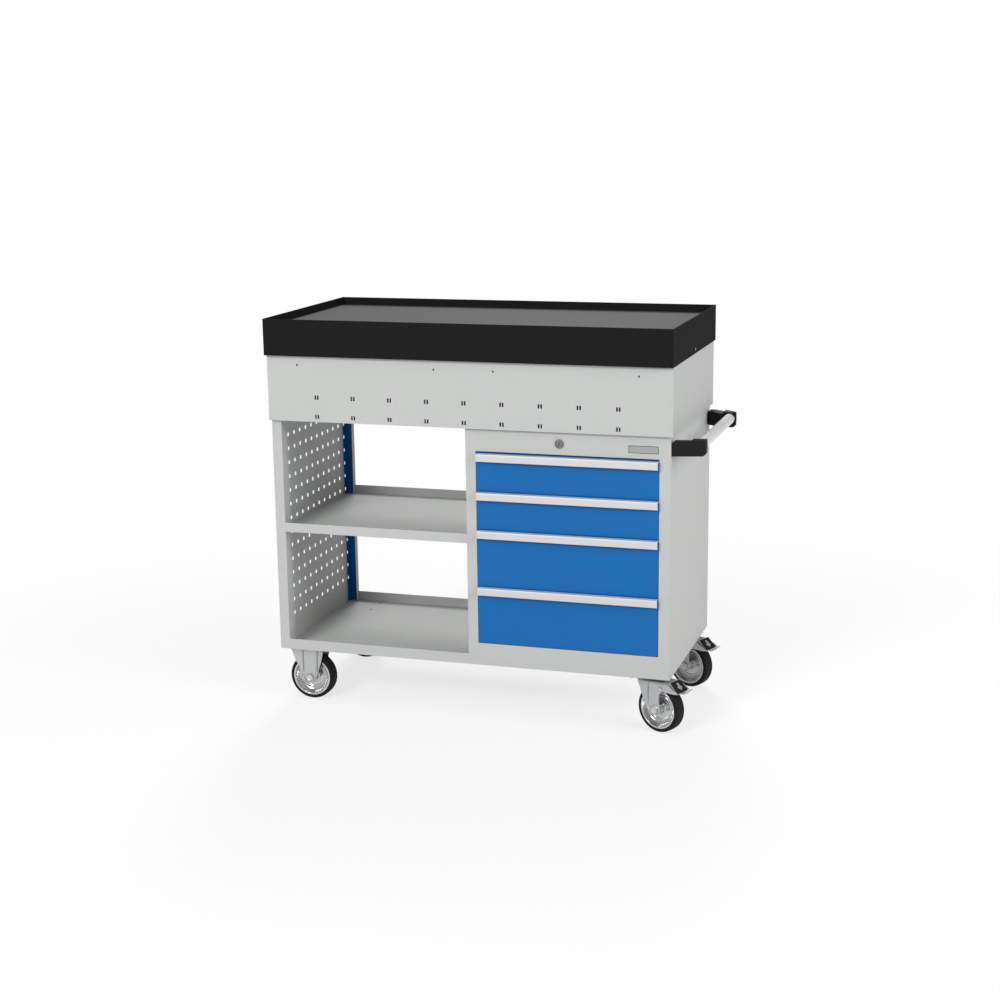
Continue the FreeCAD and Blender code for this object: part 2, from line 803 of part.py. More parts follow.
def fixed_fork(x, y):
    """Mounting plate, crown and two legs of a fixed castor, in one welded piece."""
    crown_base = plate_base - crown_thickness
    outline = ([(-57, plate_base), (-41.3, 106), (-27, 83)]
               + list(reversed(foot(15.5, 8, 10, 172)))
               + [(25.2, 89), (32.2, 108), (40, plate_base)])
    rib = ([(-18, plate_base), (-18, 75)]
           + list(reversed(foot(12.5, 8, 5, 170)))
           + [(18, 88), (21, plate_base)])
    near = leg(outline, rib, x, y)
    crown = box(x - 57, x + 40, y - leg_outer, y + leg_outer, crown_base, plate_base)
    plate = top_plate(x - fixed_plate_offset, y, 0)
    return join(near, mirror_y(near, y), crown, plate)


def swivel_fork(x, y):
    """Crown with its ball-race cover and two winged legs; x is the king pin's place."""
    ax = x + swivel_offset
    crown_top = plate_base - 9.0
    crown_base = crown_top - crown_thickness
    outline = ([(-60, crown_top), (-44.5, 101.5), (-40, 91), (-30, 76)]
               + list(reversed(foot(14.5, 8, 15, 172)))
               + [(11.6, 80), (11.6, 103), (21, 115.5), (62, 115.5), (68.5, 118.5),
                  (33.5, crown_top)])
    rib = ([(-20.5, crown_top), (-20.5, 78)]
           + list(reversed(foot(11.0, 8, 10, 172)))
           + [(8.6, 80), (8.6, 104), (19, 118), (27, 118), (27, crown_top)])
    near = leg(outline, rib, ax, y)
    pin_bore = cylinder((ax + pedal_pin[0] - swivel_offset, y - leg_outer - leg_rib - 1,
                         pedal_pin[1]), (0, 1, 0), pedal_pin_radius,
                        leg_thickness + leg_rib + 2)
    near = near.cut(pin_bore)
    crown = box(ax - 60, ax + 27, y - leg_outer, y + leg_outer, crown_base, crown_top)
    cover = cylinder((x, y, crown_top), (0, 0, 1), race_radius - 9, 9.0 - 6.0 - race_gap)
    bore = cylinder((x, y, crown_base - 1), (0, 0, 1), king_pin_radius + running, 20)
    return join(near, mirror_y(near, y), crown, cover).cut(bore)


def swivel_plate(x, y):
    """Mounting plate, upper ball race and king pin, which stay on the cabinet."""
    crown_base = plate_base - 9.0 - crown_thickness
    plate = top_plate(x, y, 0)
    race = cylinder((x, y, plate_base - 6), (0, 0, 1), race_radius, 6)
    pin_base = crown_base - race_gap - 4
    pin = cylinder((x, y, pin_base), (0, 0, 1), king_pin_radius, plate_base - pin_base)
    head = hexagon((x, y, pin_base), (0, 0, 1), 10.0, 4.0)
    return join(plate, race, pin, head)


pedal_pin = (53.0, 121.0)    # beside the king pin, and above the floor
pad_top = (77.0, 141.4)
pad_end = (102.9, 116.2)
tail_half_width = 8.0


def pedal(x, y):
    """Brake pedal: a sloping tread with its pad and tail, on two ears round the pedal pin."""
    run = math.hypot(pad_end[0] - pad_top[0], pad_end[1] - pad_top[1])
    nx = (pad_top[1] - pad_end[1]) / run
    nz = (pad_end[0] - pad_top[0]) / run
    t = pedal_thickness

    def place(along, under):
        """A point so far down the tread from its top and so far under its face."""
        return (x + pad_top[0] + nz * along - nx * under,
                pad_top[1] - nx * along - nz * under)

    tread = plate_xz([place(0, 0), place(run, 0), place(run, t), place(0, t)],
                     y - pedal_half_width, y + pedal_half_width)
    pad = plate_xz([place(2.5, -pad_thickness), place(run - 3, -pad_thickness),
                    place(run - 3, t / 2), place(2.5, t / 2)],
                   y - pad_half_width, y + pad_half_width)
    tail = plate_xz([place(run - 6, 0.5), place(run, 0), (x + 109.5, 116.2), (x + 125.4, 128.6),
                     (x + 127, 126.5), (x + 110.5, 113.3), place(run, t), place(run - 6, t)],
                    y - tail_half_width, y + tail_half_width)
    px, pz = pedal_pin
    ear = [(x + px - 6, pz - 3), (x + px + 2, pz - 6), (x + px + 14, pz - 1),
           place(run - 11, t / 2), place(1, t / 2), (x + px + 6, pz + 9), (x + px - 4, pz + 6)]
    ears = [plate_xz(ear, y0, y0 + pedal_ear_thickness)
            for y0 in (y - pedal_ear - pedal_ear_thickness, y + pedal_ear)]
    bore = cylinder((x + px, y - 30, pz), (0, 1, 0), pedal_pin_radius + running, 60)
    return join(tread, pad, tail, *ears).cut(bore)


def pedal_pins(x, y):
    """The two headed pins, one in each leg, that the pedal turns on."""
    start = y - leg_outer - leg_rib - 2.0
    head = cylinder((x + pedal_pin[0], start, pedal_pin[1]), (0, 1, 0),
                    pedal_pin_radius + 2.5, 2.0)
    shank = cylinder((x + pedal_pin[0], start, pedal_pin[1]), (0, 1, 0), pedal_pin_radius,
                     y - pedal_ear - start)
    near = join(head, shank)
    return [near, mirror_y(near, y)]


def castor_bolts():
    """Hexagon bolts from below through each plate into the cabinet's floor."""
    bolts = []
    for x, y in castor_bolt_places():
        head = hexagon((x, y, plate_base), (0, 0, -1), bolt_head_radius, bolt_head_height)
        shank = cylinder((x, y, plate_base - 1), (0, 0, 1), bolt_radius,
                         castor_plate[2] + bottom_sheet + 1)
        bolts.append(join(head, shank))
    return bolts


sides = (("front", castor_inset), ("rear", tray_depth - castor_inset))
king_x = tray_width - swivel_from_right


def at_rest(part, y):
    """A part of the swivel castor at y, turned about its king pin to where it stands."""
    return part.rotated(Vector(king_x, y, 0), Vector(0, 0, 1), swivel_turn)


save("fixed_forks", *[fixed_fork(fixed_from_left, y) for _, y in sides])
save("fixed_axles", *[axle(fixed_from_left, y) for _, y in sides])
save("swivel_top_plates", *[swivel_plate(king_x, y) for _, y in sides])
save("castor_bolts", *castor_bolts())
for side, y in sides:
    save("fixed_rim_" + side, wheel_rim(fixed_from_left, y))
    save("fixed_tyre_" + side, tyre(fixed_from_left, y))
    save("swivel_fork_" + side, at_rest(swivel_fork(king_x, y), y))
    save("swivel_axle_" + side, *[at_rest(part, y) for part in
                                  (axle(king_x + swivel_offset, y), *pedal_pins(king_x, y))])
    save("swivel_rim_" + side, at_rest(wheel_rim(king_x + swivel_offset, y), y))
    save("swivel_tyre_" + side, at_rest(tyre(king_x + swivel_offset, y), y))
    save("brake_pedal_" + side, at_rest(pedal(king_x, y), y))
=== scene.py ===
import json
import math

import bmesh
import bpy
import numpy as np
from mathutils import Matrix, Vector

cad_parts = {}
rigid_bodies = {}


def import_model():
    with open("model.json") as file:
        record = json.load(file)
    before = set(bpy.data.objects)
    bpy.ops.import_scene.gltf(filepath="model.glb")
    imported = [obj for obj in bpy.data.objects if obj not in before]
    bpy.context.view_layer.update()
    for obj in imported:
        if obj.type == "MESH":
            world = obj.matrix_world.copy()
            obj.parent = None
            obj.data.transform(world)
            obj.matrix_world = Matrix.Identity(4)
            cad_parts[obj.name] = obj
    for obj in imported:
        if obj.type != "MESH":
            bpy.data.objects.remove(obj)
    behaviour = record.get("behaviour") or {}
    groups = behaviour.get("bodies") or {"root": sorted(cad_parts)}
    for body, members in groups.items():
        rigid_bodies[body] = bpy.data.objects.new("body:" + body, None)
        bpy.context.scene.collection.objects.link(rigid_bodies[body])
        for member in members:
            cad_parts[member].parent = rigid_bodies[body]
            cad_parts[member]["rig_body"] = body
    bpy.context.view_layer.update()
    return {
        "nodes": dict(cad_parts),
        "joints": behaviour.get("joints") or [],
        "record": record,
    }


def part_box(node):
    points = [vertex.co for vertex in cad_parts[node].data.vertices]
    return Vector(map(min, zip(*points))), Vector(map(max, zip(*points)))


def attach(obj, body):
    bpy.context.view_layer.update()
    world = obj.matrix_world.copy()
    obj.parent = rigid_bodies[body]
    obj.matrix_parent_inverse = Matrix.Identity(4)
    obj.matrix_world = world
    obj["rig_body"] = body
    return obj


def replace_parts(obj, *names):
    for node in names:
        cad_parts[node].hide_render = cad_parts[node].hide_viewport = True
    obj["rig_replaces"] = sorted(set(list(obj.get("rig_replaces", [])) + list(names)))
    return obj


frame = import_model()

# wheeled steel workbench: black tray on a grey apron, open bay, four blue drawers, push handle, castors
# sizes in the dictionaries are millimetres unless a note says otherwise

nodes = frame["nodes"]
slotOf = {part["node"]: part["material_slot"] for part in frame["record"]["subparts"]}
mm = 0.001

view = {
    "eye": (1.37805, -4.4136, 1.5633),   # metres
    "yaw": 17.66,                        # turned to the left of +Y
    "pitch": 12.53,                      # looking down
    "roll": -0.75,
    "lens": 63.61,
    "sensor": 36.0,
    "farthest": 60.0,
}


def addObject(name, data):
    item = bpy.data.objects.new(name, data)
    bpy.context.scene.collection.objects.link(item)
    return item


def makeCamera():
    yaw, pitch, roll = (math.radians(view[key]) for key in ("yaw", "pitch", "roll"))
    level = math.cos(pitch)
    ahead = Vector((-math.sin(yaw) * level, math.cos(yaw) * level, -math.sin(pitch)))
    right = Vector((math.cos(yaw), math.sin(yaw), 0))
    up = right.cross(ahead)
    acrossAxis = right * math.cos(roll) + up * math.sin(roll)
    upAxis = up * math.cos(roll) - right * math.sin(roll)
    data = bpy.data.cameras.new("camera")
    data.lens = view["lens"]
    data.sensor_width = view["sensor"]
    data.clip_end = view["farthest"]
    camera = addObject("camera", data)
    turn = Matrix((acrossAxis, upAxis, -ahead)).transposed().to_4x4()
    camera.matrix_world = Matrix.Translation(view["eye"]) @ turn
    bpy.context.scene.camera = camera


studio = {                               # metres and watts
    "skyLight": 0.37,
    "skyColour": (1.0, 1.0, 1.0),
    "lamps": {
        "key": {"place": (-1.3, -4.9, 3.2), "size": 1.7, "power": 160.0},
        "fill": {"place": (4.2, -1.4, 2.6), "size": 2.6, "power": 102.0},
        "back": {"place": (-1.0, 4.6, 4.4), "size": 2.4, "power": 165.0},
    },
    "aim": (0.0, 0.0, 0.55),
    "floorColour": (0.93, 0.93, 0.93),
    "floorRoughness": 0.9,
    "floorHalf": 14.0,
    "floorLift": 0.72,                   # share of plain white that the lens sees on the floor near the bench
    "floorFade": (0.9, 2.4),             # distances between which that share grows to all of it
}


def makeStudio():
    world = bpy.data.worlds.new("studio")
    bpy.context.scene.world = world
    world.use_nodes = True
    tree = world.node_tree
    tree.nodes.clear()
    out = tree.nodes.new("ShaderNodeOutputWorld")
    mix = tree.nodes.new("ShaderNodeMixShader")
    light = tree.nodes.new("ShaderNodeBackground")
    seen = tree.nodes.new("ShaderNodeBackground")
    path = tree.nodes.new("ShaderNodeLightPath")
    light.inputs["Color"].default_value = (*studio["skyColour"], 1)
    light.inputs["Strength"].default_value = studio["skyLight"]
    seen.inputs["Color"].default_value = (1, 1, 1, 1)
    tree.links.new(path.outputs["Is Camera Ray"], mix.inputs[0])
    tree.links.new(light.outputs[0], mix.inputs[1])
    tree.links.new(seen.outputs[0], mix.inputs[2])
    tree.links.new(mix.outputs[0], out.inputs["Surface"])
    target = Vector(studio["aim"])
    for name, lamp in studio["lamps"].items():
        data = bpy.data.lights.new(name, "AREA")
        data.shape = "DISK"
        data.size = lamp["size"]
        data.energy = lamp["power"]
        place = Vector(lamp["place"])
        lampObject = addObject(name, data)
        turn = (target - place).to_track_quat("-Z", "Y").to_matrix().to_4x4()
        lampObject.matrix_world = Matrix.Translation(place) @ turn


def makeFloor():
    half = studio["floorHalf"]
    mesh = bpy.data.meshes.new("studioFloor")
    corners = [(-half, -half, 0), (half, -half, 0), (half, half, 0), (-half, half, 0)]
    mesh.from_pydata(corners, [], [(0, 1, 2, 3)])
    floor = addObject("studioFloor", mesh)
    paint = bpy.data.materials.new("studioFloor")
    paint.use_nodes = True
    tree = paint.node_tree
    shader = tree.nodes["Principled BSDF"]
    shader.inputs["Base Color"].default_value = (*studio["floorColour"], 1)
    shader.inputs["Roughness"].default_value = studio["floorRoughness"]
    white = tree.nodes.new("ShaderNodeEmission")
    path = tree.nodes.new("ShaderNodeLightPath")
    place = tree.nodes.new("ShaderNodeTexCoord")
    reach = tree.nodes.new("ShaderNodeVectorMath")
    reach.operation = "LENGTH"
    fade = tree.nodes.new("ShaderNodeMapRange")
    fade.interpolation_type = "SMOOTHSTEP"
    near, far = studio["floorFade"]
    for key, value in (("From Min", near), ("From Max", far), ("To Min", studio["floorLift"])):
        fade.inputs[key].default_value = value
    share = tree.nodes.new("ShaderNodeMath")
    share.operation = "MULTIPLY"
    mix = tree.nodes.new("ShaderNodeMixShader")
    tree.links.new(place.outputs["Object"], reach.inputs[0])
    tree.links.new(reach.outputs["Value"], fade.inputs["Value"])
    tree.links.new(fade.outputs[0], share.inputs[1])
    tree.links.new(path.outputs["Is Camera Ray"], share.inputs[0])
    tree.links.new(share.outputs[0], mix.inputs[0])
    tree.links.new(shader.outputs[0], mix.inputs[1])
    tree.links.new(white.outputs[0], mix.inputs[2])
    tree.links.new(mix.outputs[0], tree.nodes["Material Output"].inputs["Surface"])
    mesh.materials.append(paint)


makeCamera()
makeStudio()
makeFloor()
bpy.context.scene.view_settings.view_transform = "Standard"
print("stage: camera, light and floor")


vectorIn = ("Vector", "NodeSocketVector", (0, 0, 0))
maskOut = [("Mask", "NodeSocketFloat")]
patternOut = [("Height", "NodeSocketFloat"), ("Shade", "NodeSocketFloat")]


def newGroup(name, inputs, outputs):
    group = bpy.data.node_groups.new(name, "ShaderNodeTree")
    for socketName, kind, value in inputs:
        socket = group.interface.new_socket(socketName, in_out="INPUT", socket_type=kind)
        socket.default_value = value
    for socketName, kind in outputs:
        group.interface.new_socket(socketName, in_out="OUTPUT", socket_type=kind)
    start = group.nodes.new("NodeGroupInput")
    end = group.nodes.new("NodeGroupOutput")
    return group, start, end


def addNode(tree, kind, values=None, links=None, **settings):
    node = tree.nodes.new(kind)
    for key, value in settings.items():
        setattr(node, key, value)
    for key, value in (values or {}).items():
        node.inputs[key].default_value = value
    for key, source in (links or {}).items():
        tree.links.new(source, node.inputs[key])
    return node


def mathNode(tree, operation, a, b=None, clamp=False):
    node = tree.nodes.new("ShaderNodeMath")
    node.operation = operation
    node.use_clamp = clamp
    for index, value in enumerate((a, b)):
        if value is None:
            continue
        if isinstance(value, (int, float)):
            node.inputs[index].default_value = value
        else:
            tree.links.new(value, node.inputs[index])
    return node.outputs[0]


def buildPowderGrain():
    # height = fine round noise + a coarser orange peel; shade = a slow cloudiness around one
    group, start, end = newGroup("powderGrain", [
        vectorIn, ("Grain", "NodeSocketFloat", 900.0), ("Peel", "NodeSocketFloat", 240.0),
        ("Tone", "NodeSocketFloat", 0.03)], patternOut)
    fine = addNode(group, "ShaderNodeTexNoise", {"Detail": 2.0, "Roughness": 0.6},
                   {"Vector": start.outputs["Vector"], "Scale": start.outputs["Grain"]})
    peel = addNode(group, "ShaderNodeTexNoise", {"Detail": 1.0, "Roughness": 0.4},
                   {"Vector": start.outputs["Vector"], "Scale": start.outputs["Peel"]})
    cloud = addNode(group, "ShaderNodeTexNoise", {"Scale": 5.0, "Detail": 3.0, "Roughness": 0.55},
                    {"Vector": start.outputs["Vector"]})
    height = mathNode(group, "ADD", mathNode(group, "MULTIPLY", fine.outputs["Fac"], 0.5),
                      mathNode(group, "MULTIPLY", peel.outputs["Fac"], 0.5))
    centred = mathNode(group, "SUBTRACT", cloud.outputs["Fac"], 0.5)
    shade = mathNode(group, "ADD", mathNode(group, "MULTIPLY", centred, start.outputs["Tone"]), 1.0)
    group.links.new(height, end.inputs["Height"])
    group.links.new(shade, end.inputs["Shade"])
    return group


def buildBrushedLines():
    # noise squeezed across the brushing direction, so that it draws long hairlines
    group, start, end = newGroup("brushedLines", [
        vectorIn, ("Squeeze", "NodeSocketVector", (2, 900, 900)), ("Tone", "NodeSocketFloat", 0.06)], patternOut)
    squeezed = addNode(group, "ShaderNodeVectorMath", operation="MULTIPLY")
    group.links.new(start.outputs["Vector"], squeezed.inputs[0])
    group.links.new(start.outputs["Squeeze"], squeezed.inputs[1])
    lines = addNode(group, "ShaderNodeTexNoise", {"Scale": 1.0, "Detail": 3.0, "Roughness": 0.7},
                    {"Vector": squeezed.outputs[0]})
    centred = mathNode(group, "SUBTRACT", lines.outputs["Fac"], 0.5)
    shade = mathNode(group, "ADD", mathNode(group, "MULTIPLY", centred, start.outputs["Tone"]), 1.0)
    group.links.new(lines.outputs["Fac"], end.inputs["Height"])
    group.links.new(shade, end.inputs["Shade"])
    return group


def buildEdgeWearAndHighlight():
    # mask = how far a rounded normal leans from the true one, so only at an edge, broken up by noise; it lightens
    # edges, partly as rubbed paint and partly as a painted edge highlight
    group, start, end = newGroup("edgeWear", [
        vectorIn, ("Radius", "NodeSocketFloat", 0.0008), ("Amount", "NodeSocketFloat", 0.4)], maskOut)
    rounded = addNode(group, "ShaderNodeBevel", None, {"Radius": start.outputs["Radius"]}, samples=4)
    shape = addNode(group, "ShaderNodeNewGeometry")
    lean = addNode(group, "ShaderNodeVectorMath", operation="DOT_PRODUCT")
    group.links.new(rounded.outputs[0], lean.inputs[0])
    group.links.new(shape.outputs["Normal"], lean.inputs[1])
    edge = addNode(group, "ShaderNodeMapRange", {"From Min": 0.995, "From Max": 0.9},
                   {"Value": lean.outputs["Value"]})
    broken = addNode(group, "ShaderNodeTexNoise", {"Scale": 70.0, "Detail": 4.0, "Roughness": 0.65},
                     {"Vector": start.outputs["Vector"]})
    patches = addNode(group, "ShaderNodeMapRange", {"From Min": 0.4, "From Max": 0.62},
                      {"Value": broken.outputs["Fac"]})
    both = mathNode(group, "MULTIPLY", edge.outputs[0], patches.outputs[0])
    group.links.new(mathNode(group, "MULTIPLY", both, start.outputs["Amount"], clamp=True), end.inputs["Mask"])
    return group


def buildDustFilm():
    # mask = how far the surface faces up, times a soft patchy noise
    group, start, end = newGroup("dustFilm", [vectorIn, ("Amount", "NodeSocketFloat", 0.1)], maskOut)
    shape = addNode(group, "ShaderNodeNewGeometry")
    split = addNode(group, "ShaderNodeSeparateXYZ", None, {"Vector": shape.outputs["Normal"]})
    upward = addNode(group, "ShaderNodeMapRange", {"From Min": 0.5}, {"Value": split.outputs["Z"]})
    patchy = addNode(group, "ShaderNodeTexNoise", {"Scale": 9.0, "Detail": 5.0, "Roughness": 0.6},
                     {"Vector": start.outputs["Vector"]})
    both = mathNode(group, "MULTIPLY", upward.outputs[0], patchy.outputs["Fac"])
    group.links.new(mathNode(group, "MULTIPLY", both, start.outputs["Amount"], clamp=True), end.inputs["Mask"])
    return group


def buildPaintedShade():
    # mask for painted shade: how much of the near surroundings is closed off, so corners, grooves and dishes are
    # painted darker where shade falls
    group, start, end = newGroup("recess", [
        ("Reach", "NodeSocketFloat", 0.012), ("Amount", "NodeSocketFloat", 0.7)], maskOut)
    opened = addNode(group, "ShaderNodeAmbientOcclusion", None, {"Distance": start.outputs["Reach"]},
                     samples=6)
    closed = mathNode(group, "SUBTRACT", 1.0, opened.outputs["AO"])
    group.links.new(mathNode(group, "MULTIPLY", closed, start.outputs["Amount"], clamp=True), end.inputs["Mask"])
    return group


recess = buildPaintedShade()
powderGrain = buildPowderGrain()
brushedLines = buildBrushedLines()
edgeWear = buildEdgeWearAndHighlight()
dustFilm = buildDustFilm()
print("stage: shared shader effects")


def finishTree(name, settings):
    material = bpy.data.materials.new(name)
    material.use_nodes = True
    tree = material.node_tree
    shader = tree.nodes["Principled BSDF"]
    for key, value in settings.items():
        shader.inputs[key].default_value = value
    place = tree.nodes.new("ShaderNodeTexCoord").outputs["Object"]
    return material, tree, shader, place


def groupNode(tree, group, place, values):
    node = addNode(tree, "ShaderNodeGroup", node_tree=group)
    tree.links.new(place, node.inputs["Vector"])
    for key, value in values.items():
        node.inputs[key].default_value = value
    return node


def mixColour(tree, mask, a, b, blend="MIX"):
    node = addNode(tree, "ShaderNodeMix", data_type="RGBA", blend_type=blend)
    for index, value in ((0, mask), (6, a), (7, b)):
        if isinstance(value, bpy.types.NodeSocket):
            tree.links.new(value, node.inputs[index])
        else:
            node.inputs[index].default_value = value
    return node.outputs[2]


def shaded(tree, colour, shade):
    # colour times a grey made from the shade value
    grey = addNode(tree, "ShaderNodeCombineColor", None, {0: shade, 1: shade, 2: shade})
    return mixColour(tree, 1.0, colour, grey.outputs[0], "MULTIPLY")


def bumpFrom(tree, shader, height, strength, depth):
    bump = addNode(tree, "ShaderNodeBump", {"Strength": strength, "Distance": depth}, {"Height": height})
    tree.links.new(bump.outputs["Normal"], shader.inputs["Normal"])


def roughFrom(tree, shader, value, gloss):
    spread = addNode(tree, "ShaderNodeMapRange", {"To Min": gloss[0], "To Max": gloss[1]}, {"Value": value})
    tree.links.new(spread.outputs[0], shader.inputs["Roughness"])


def skinGrain(tree, place, look):
    return groupNode(tree, powderGrain, place, {"Grain": look["grain"], "Peel": look["peel"], "Tone": look["tone"]})


dustColours = {"paint": (0.5, 0.49, 0.47, 1), "rubber": (0.35, 0.34, 0.33, 1)}
# near-black colour mixed in as painted shade where the surroundings close in
paintedShadeColour = (0.06, 0.06, 0.062, 1)
bumpDepth = {"paint": 0.00025, "brushed": 0.0001, "zinc": 0.0002, "rubber": 0.0003}   # metres


def powderPaint(name, look):
    # sprayed and baked powder: grain in the normal, faint cloudy tone, edges lightened partly as rubbed paint and
    # partly as a painted highlight, a film of dust on top
    settings = {"Metallic": 0.0, "IOR": 1.48, "Specular IOR Level": look["shine"]}
    material, tree, shader, place = finishTree(name, settings)
    grain = skinGrain(tree, place, look)
    colour = shaded(tree, (*look["colour"], 1), grain.outputs["Shade"])
    wear = groupNode(tree, edgeWear, place, {"Amount": look["wear"]})
    # edges mixed towards a lighter tint of the paint: partly rubbed paint, partly a painted edge highlight
    colour = mixColour(tree, wear.outputs["Mask"], colour, (*look["wearColour"], 1))
    dust = groupNode(tree, dustFilm, place, {"Amount": look["dust"]})
    colour = mixColour(tree, dust.outputs["Mask"], colour, dustColours["paint"])
    tree.links.new(colour, shader.inputs["Base Color"])
    roughFrom(tree, shader, grain.outputs["Height"], look["gloss"])
    bumpFrom(tree, shader, grain.outputs["Height"], look["bump"], bumpDepth["paint"])
    return material


def brushedMetal(name, look):
    # drawn or brushed metal: hairlines along one axis in tone, roughness and normal
    settings = {"Metallic": look["metallic"], "Specular IOR Level": look["shine"]}
    material, tree, shader, place = finishTree(name, settings)
    lines = groupNode(tree, brushedLines, place, {"Squeeze": look["squeeze"], "Tone": look["tone"]})
    colour = shaded(tree, (*look["colour"], 1), lines.outputs["Shade"])
    tree.links.new(colour, shader.inputs["Base Color"])
    roughFrom(tree, shader, lines.outputs["Height"], look["gloss"])
    bumpFrom(tree, shader, lines.outputs["Height"], look["bump"], bumpDepth["brushed"])
    return material


def zincMetal(name, look):
    # plated steel: faint crystal patches in tone and gloss over a slightly uneven skin, with painted shade darkening
    # its corners, grooves and dishes
    material, tree, shader, place = finishTree(name, {"Metallic": look["metallic"]})
    crystals = addNode(tree, "ShaderNodeTexVoronoi", {"Scale": look["crystal"]}, {"Vector": place})
    tone = addNode(tree, "ShaderNodeRGBToBW", None, {"Color": crystals.outputs["Color"]})
    grain = groupNode(tree, powderGrain, place, {"Grain": 1400.0, "Peel": 180.0, "Tone": 0.1})
    centred = mathNode(tree, "SUBTRACT", tone.outputs[0], 0.5)
    shade = mathNode(tree, "ADD", mathNode(tree, "MULTIPLY", centred, look["tone"]), grain.outputs["Shade"])
    colour = shaded(tree, (*look["colour"], 1), shade)
    # painted shade: the colour goes towards near black where ambient occlusion finds the surface closed in
    hollow = addNode(tree, "ShaderNodeGroup", None, None, node_tree=recess)
    hollow.inputs["Reach"].default_value = look["reach"]
    hollow.inputs["Amount"].default_value = look["hollow"]
    colour = mixColour(tree, hollow.outputs["Mask"], colour, paintedShadeColour)
    tree.links.new(colour, shader.inputs["Base Color"])
    roughFrom(tree, shader, tone.outputs[0], look["gloss"])
    bumpFrom(tree, shader, grain.outputs["Height"], look["bump"], bumpDepth["zinc"])
    return material


def mouldedRubber(name, look):
    # moulded rubber or plastic: fine pitted skin, faint bloom on what faces up
    settings = {"Metallic": 0.0, "IOR": 1.5, "Specular IOR Level": look["shine"]}
    material, tree, shader, place = finishTree(name, settings)
    grain = skinGrain(tree, place, look)
    pits = addNode(tree, "ShaderNodeTexVoronoi", {"Scale": look["pits"]}, {"Vector": place})
    pitted = mathNode(tree, "MULTIPLY", pits.outputs["Distance"], 0.6)
    height = mathNode(tree, "ADD", grain.outputs["Height"], pitted)
    colour = shaded(tree, (*look["colour"], 1), grain.outputs["Shade"])
    dust = groupNode(tree, dustFilm, place, {"Amount": look["dust"]})
    colour = mixColour(tree, dust.outputs["Mask"], colour, dustColours["rubber"])
    tree.links.new(colour, shader.inputs["Base Color"])
    roughFrom(tree, shader, grain.outputs["Height"], look["gloss"])
    bumpFrom(tree, shader, height, look["bump"], bumpDepth["rubber"])
    return material


# each look's edge colour is a lighter tint of its paint, used partly as rubbed paint and partly as a painted edge
# highlight
greyPowder = {"colour": (0.485, 0.495, 0.485), "grain": 900.0, "peel": 260.0, "tone": 0.015, "gloss": (0.45, 0.62),
              "shine": 0.25, "bump": 0.2, "wear": 0.12, "wearColour": (0.62, 0.62, 0.62), "dust": 0.03}
blueEnamel = {"colour": (0.003, 0.123, 0.387), "grain": 700.0, "peel": 200.0, "tone": 0.02, "gloss": (0.34, 0.48),
              "shine": 0.22, "bump": 0.12, "wear": 0.15, "wearColour": (0.05, 0.2, 0.5), "dust": 0.02}
blackPowder = {"colour": (0.0122, 0.0122, 0.0124), "grain": 800.0, "peel": 220.0, "tone": 0.06,
               "gloss": (0.55, 0.72), "shine": 0.03, "bump": 0.25, "wear": 0.3, "wearColour": (0.025, 0.025, 0.025),
               "dust": 0.01}
stripAluminium = {"colour": (0.61, 0.61, 0.615), "metallic": 0.3, "squeeze": (3.0, 700.0, 700.0), "tone": 0.08,
                  "gloss": (0.36, 0.52), "shine": 0.4, "bump": 0.1}
tubeAluminium = {"colour": (0.7, 0.71, 0.705), "metallic": 0.2, "squeeze": (700.0, 3.0, 700.0), "tone": 0.06,
                 "gloss": (0.38, 0.52), "shine": 0.4, "bump": 0.08}
# the zinc looks' last two values: how far painted shade reaches, in metres, and how strongly it darkens corners and
# grooves
zincPlate = {"colour": (0.5, 0.505, 0.51), "metallic": 0.55, "crystal": 160.0, "tone": 0.06, "gloss": (0.3, 0.42),
             "bump": 0.05, "reach": 0.009, "hollow": 0.9}
brightZinc = {"colour": (0.62, 0.625, 0.63), "metallic": 0.8, "crystal": 220.0, "tone": 0.04, "gloss": (0.14, 0.22),
              "bump": 0.02, "reach": 0.012, "hollow": 0.8}
lockNickel = {"colour": (0.2, 0.2, 0.203), "metallic": 0.6, "crystal": 500.0, "tone": 0.06, "gloss": (0.34, 0.44),
              "bump": 0.06, "reach": 0.006, "hollow": 0.7}
matRubber = {"colour": (0.088, 0.089, 0.089), "grain": 1200.0, "peel": 420.0, "pits": 600.0, "tone": 0.04,
             "gloss": (0.7, 0.85), "shine": 0.2, "bump": 0.35, "dust": 0.02}
tyreRubber = {"colour": (0.0115, 0.0115, 0.0115), "grain": 1300.0, "peel": 420.0, "pits": 700.0, "tone": 0.1,
              "gloss": (0.55, 0.72), "shine": 0.12, "bump": 0.25, "dust": 0.01}
blackPlastic = {"colour": (0.0105, 0.0105, 0.0108), "grain": 1500.0, "peel": 500.0, "pits": 900.0, "tone": 0.05,
                "gloss": (0.5, 0.62), "shine": 0.12, "bump": 0.2, "dust": 0.01}
plateEnamel = {"colour": (0.34, 0.35, 0.35), "metallic": 0.3, "squeeze": (4.0, 900.0, 900.0), "tone": 0.08,
               "gloss": (0.4, 0.52), "shine": 0.3, "bump": 0.08}

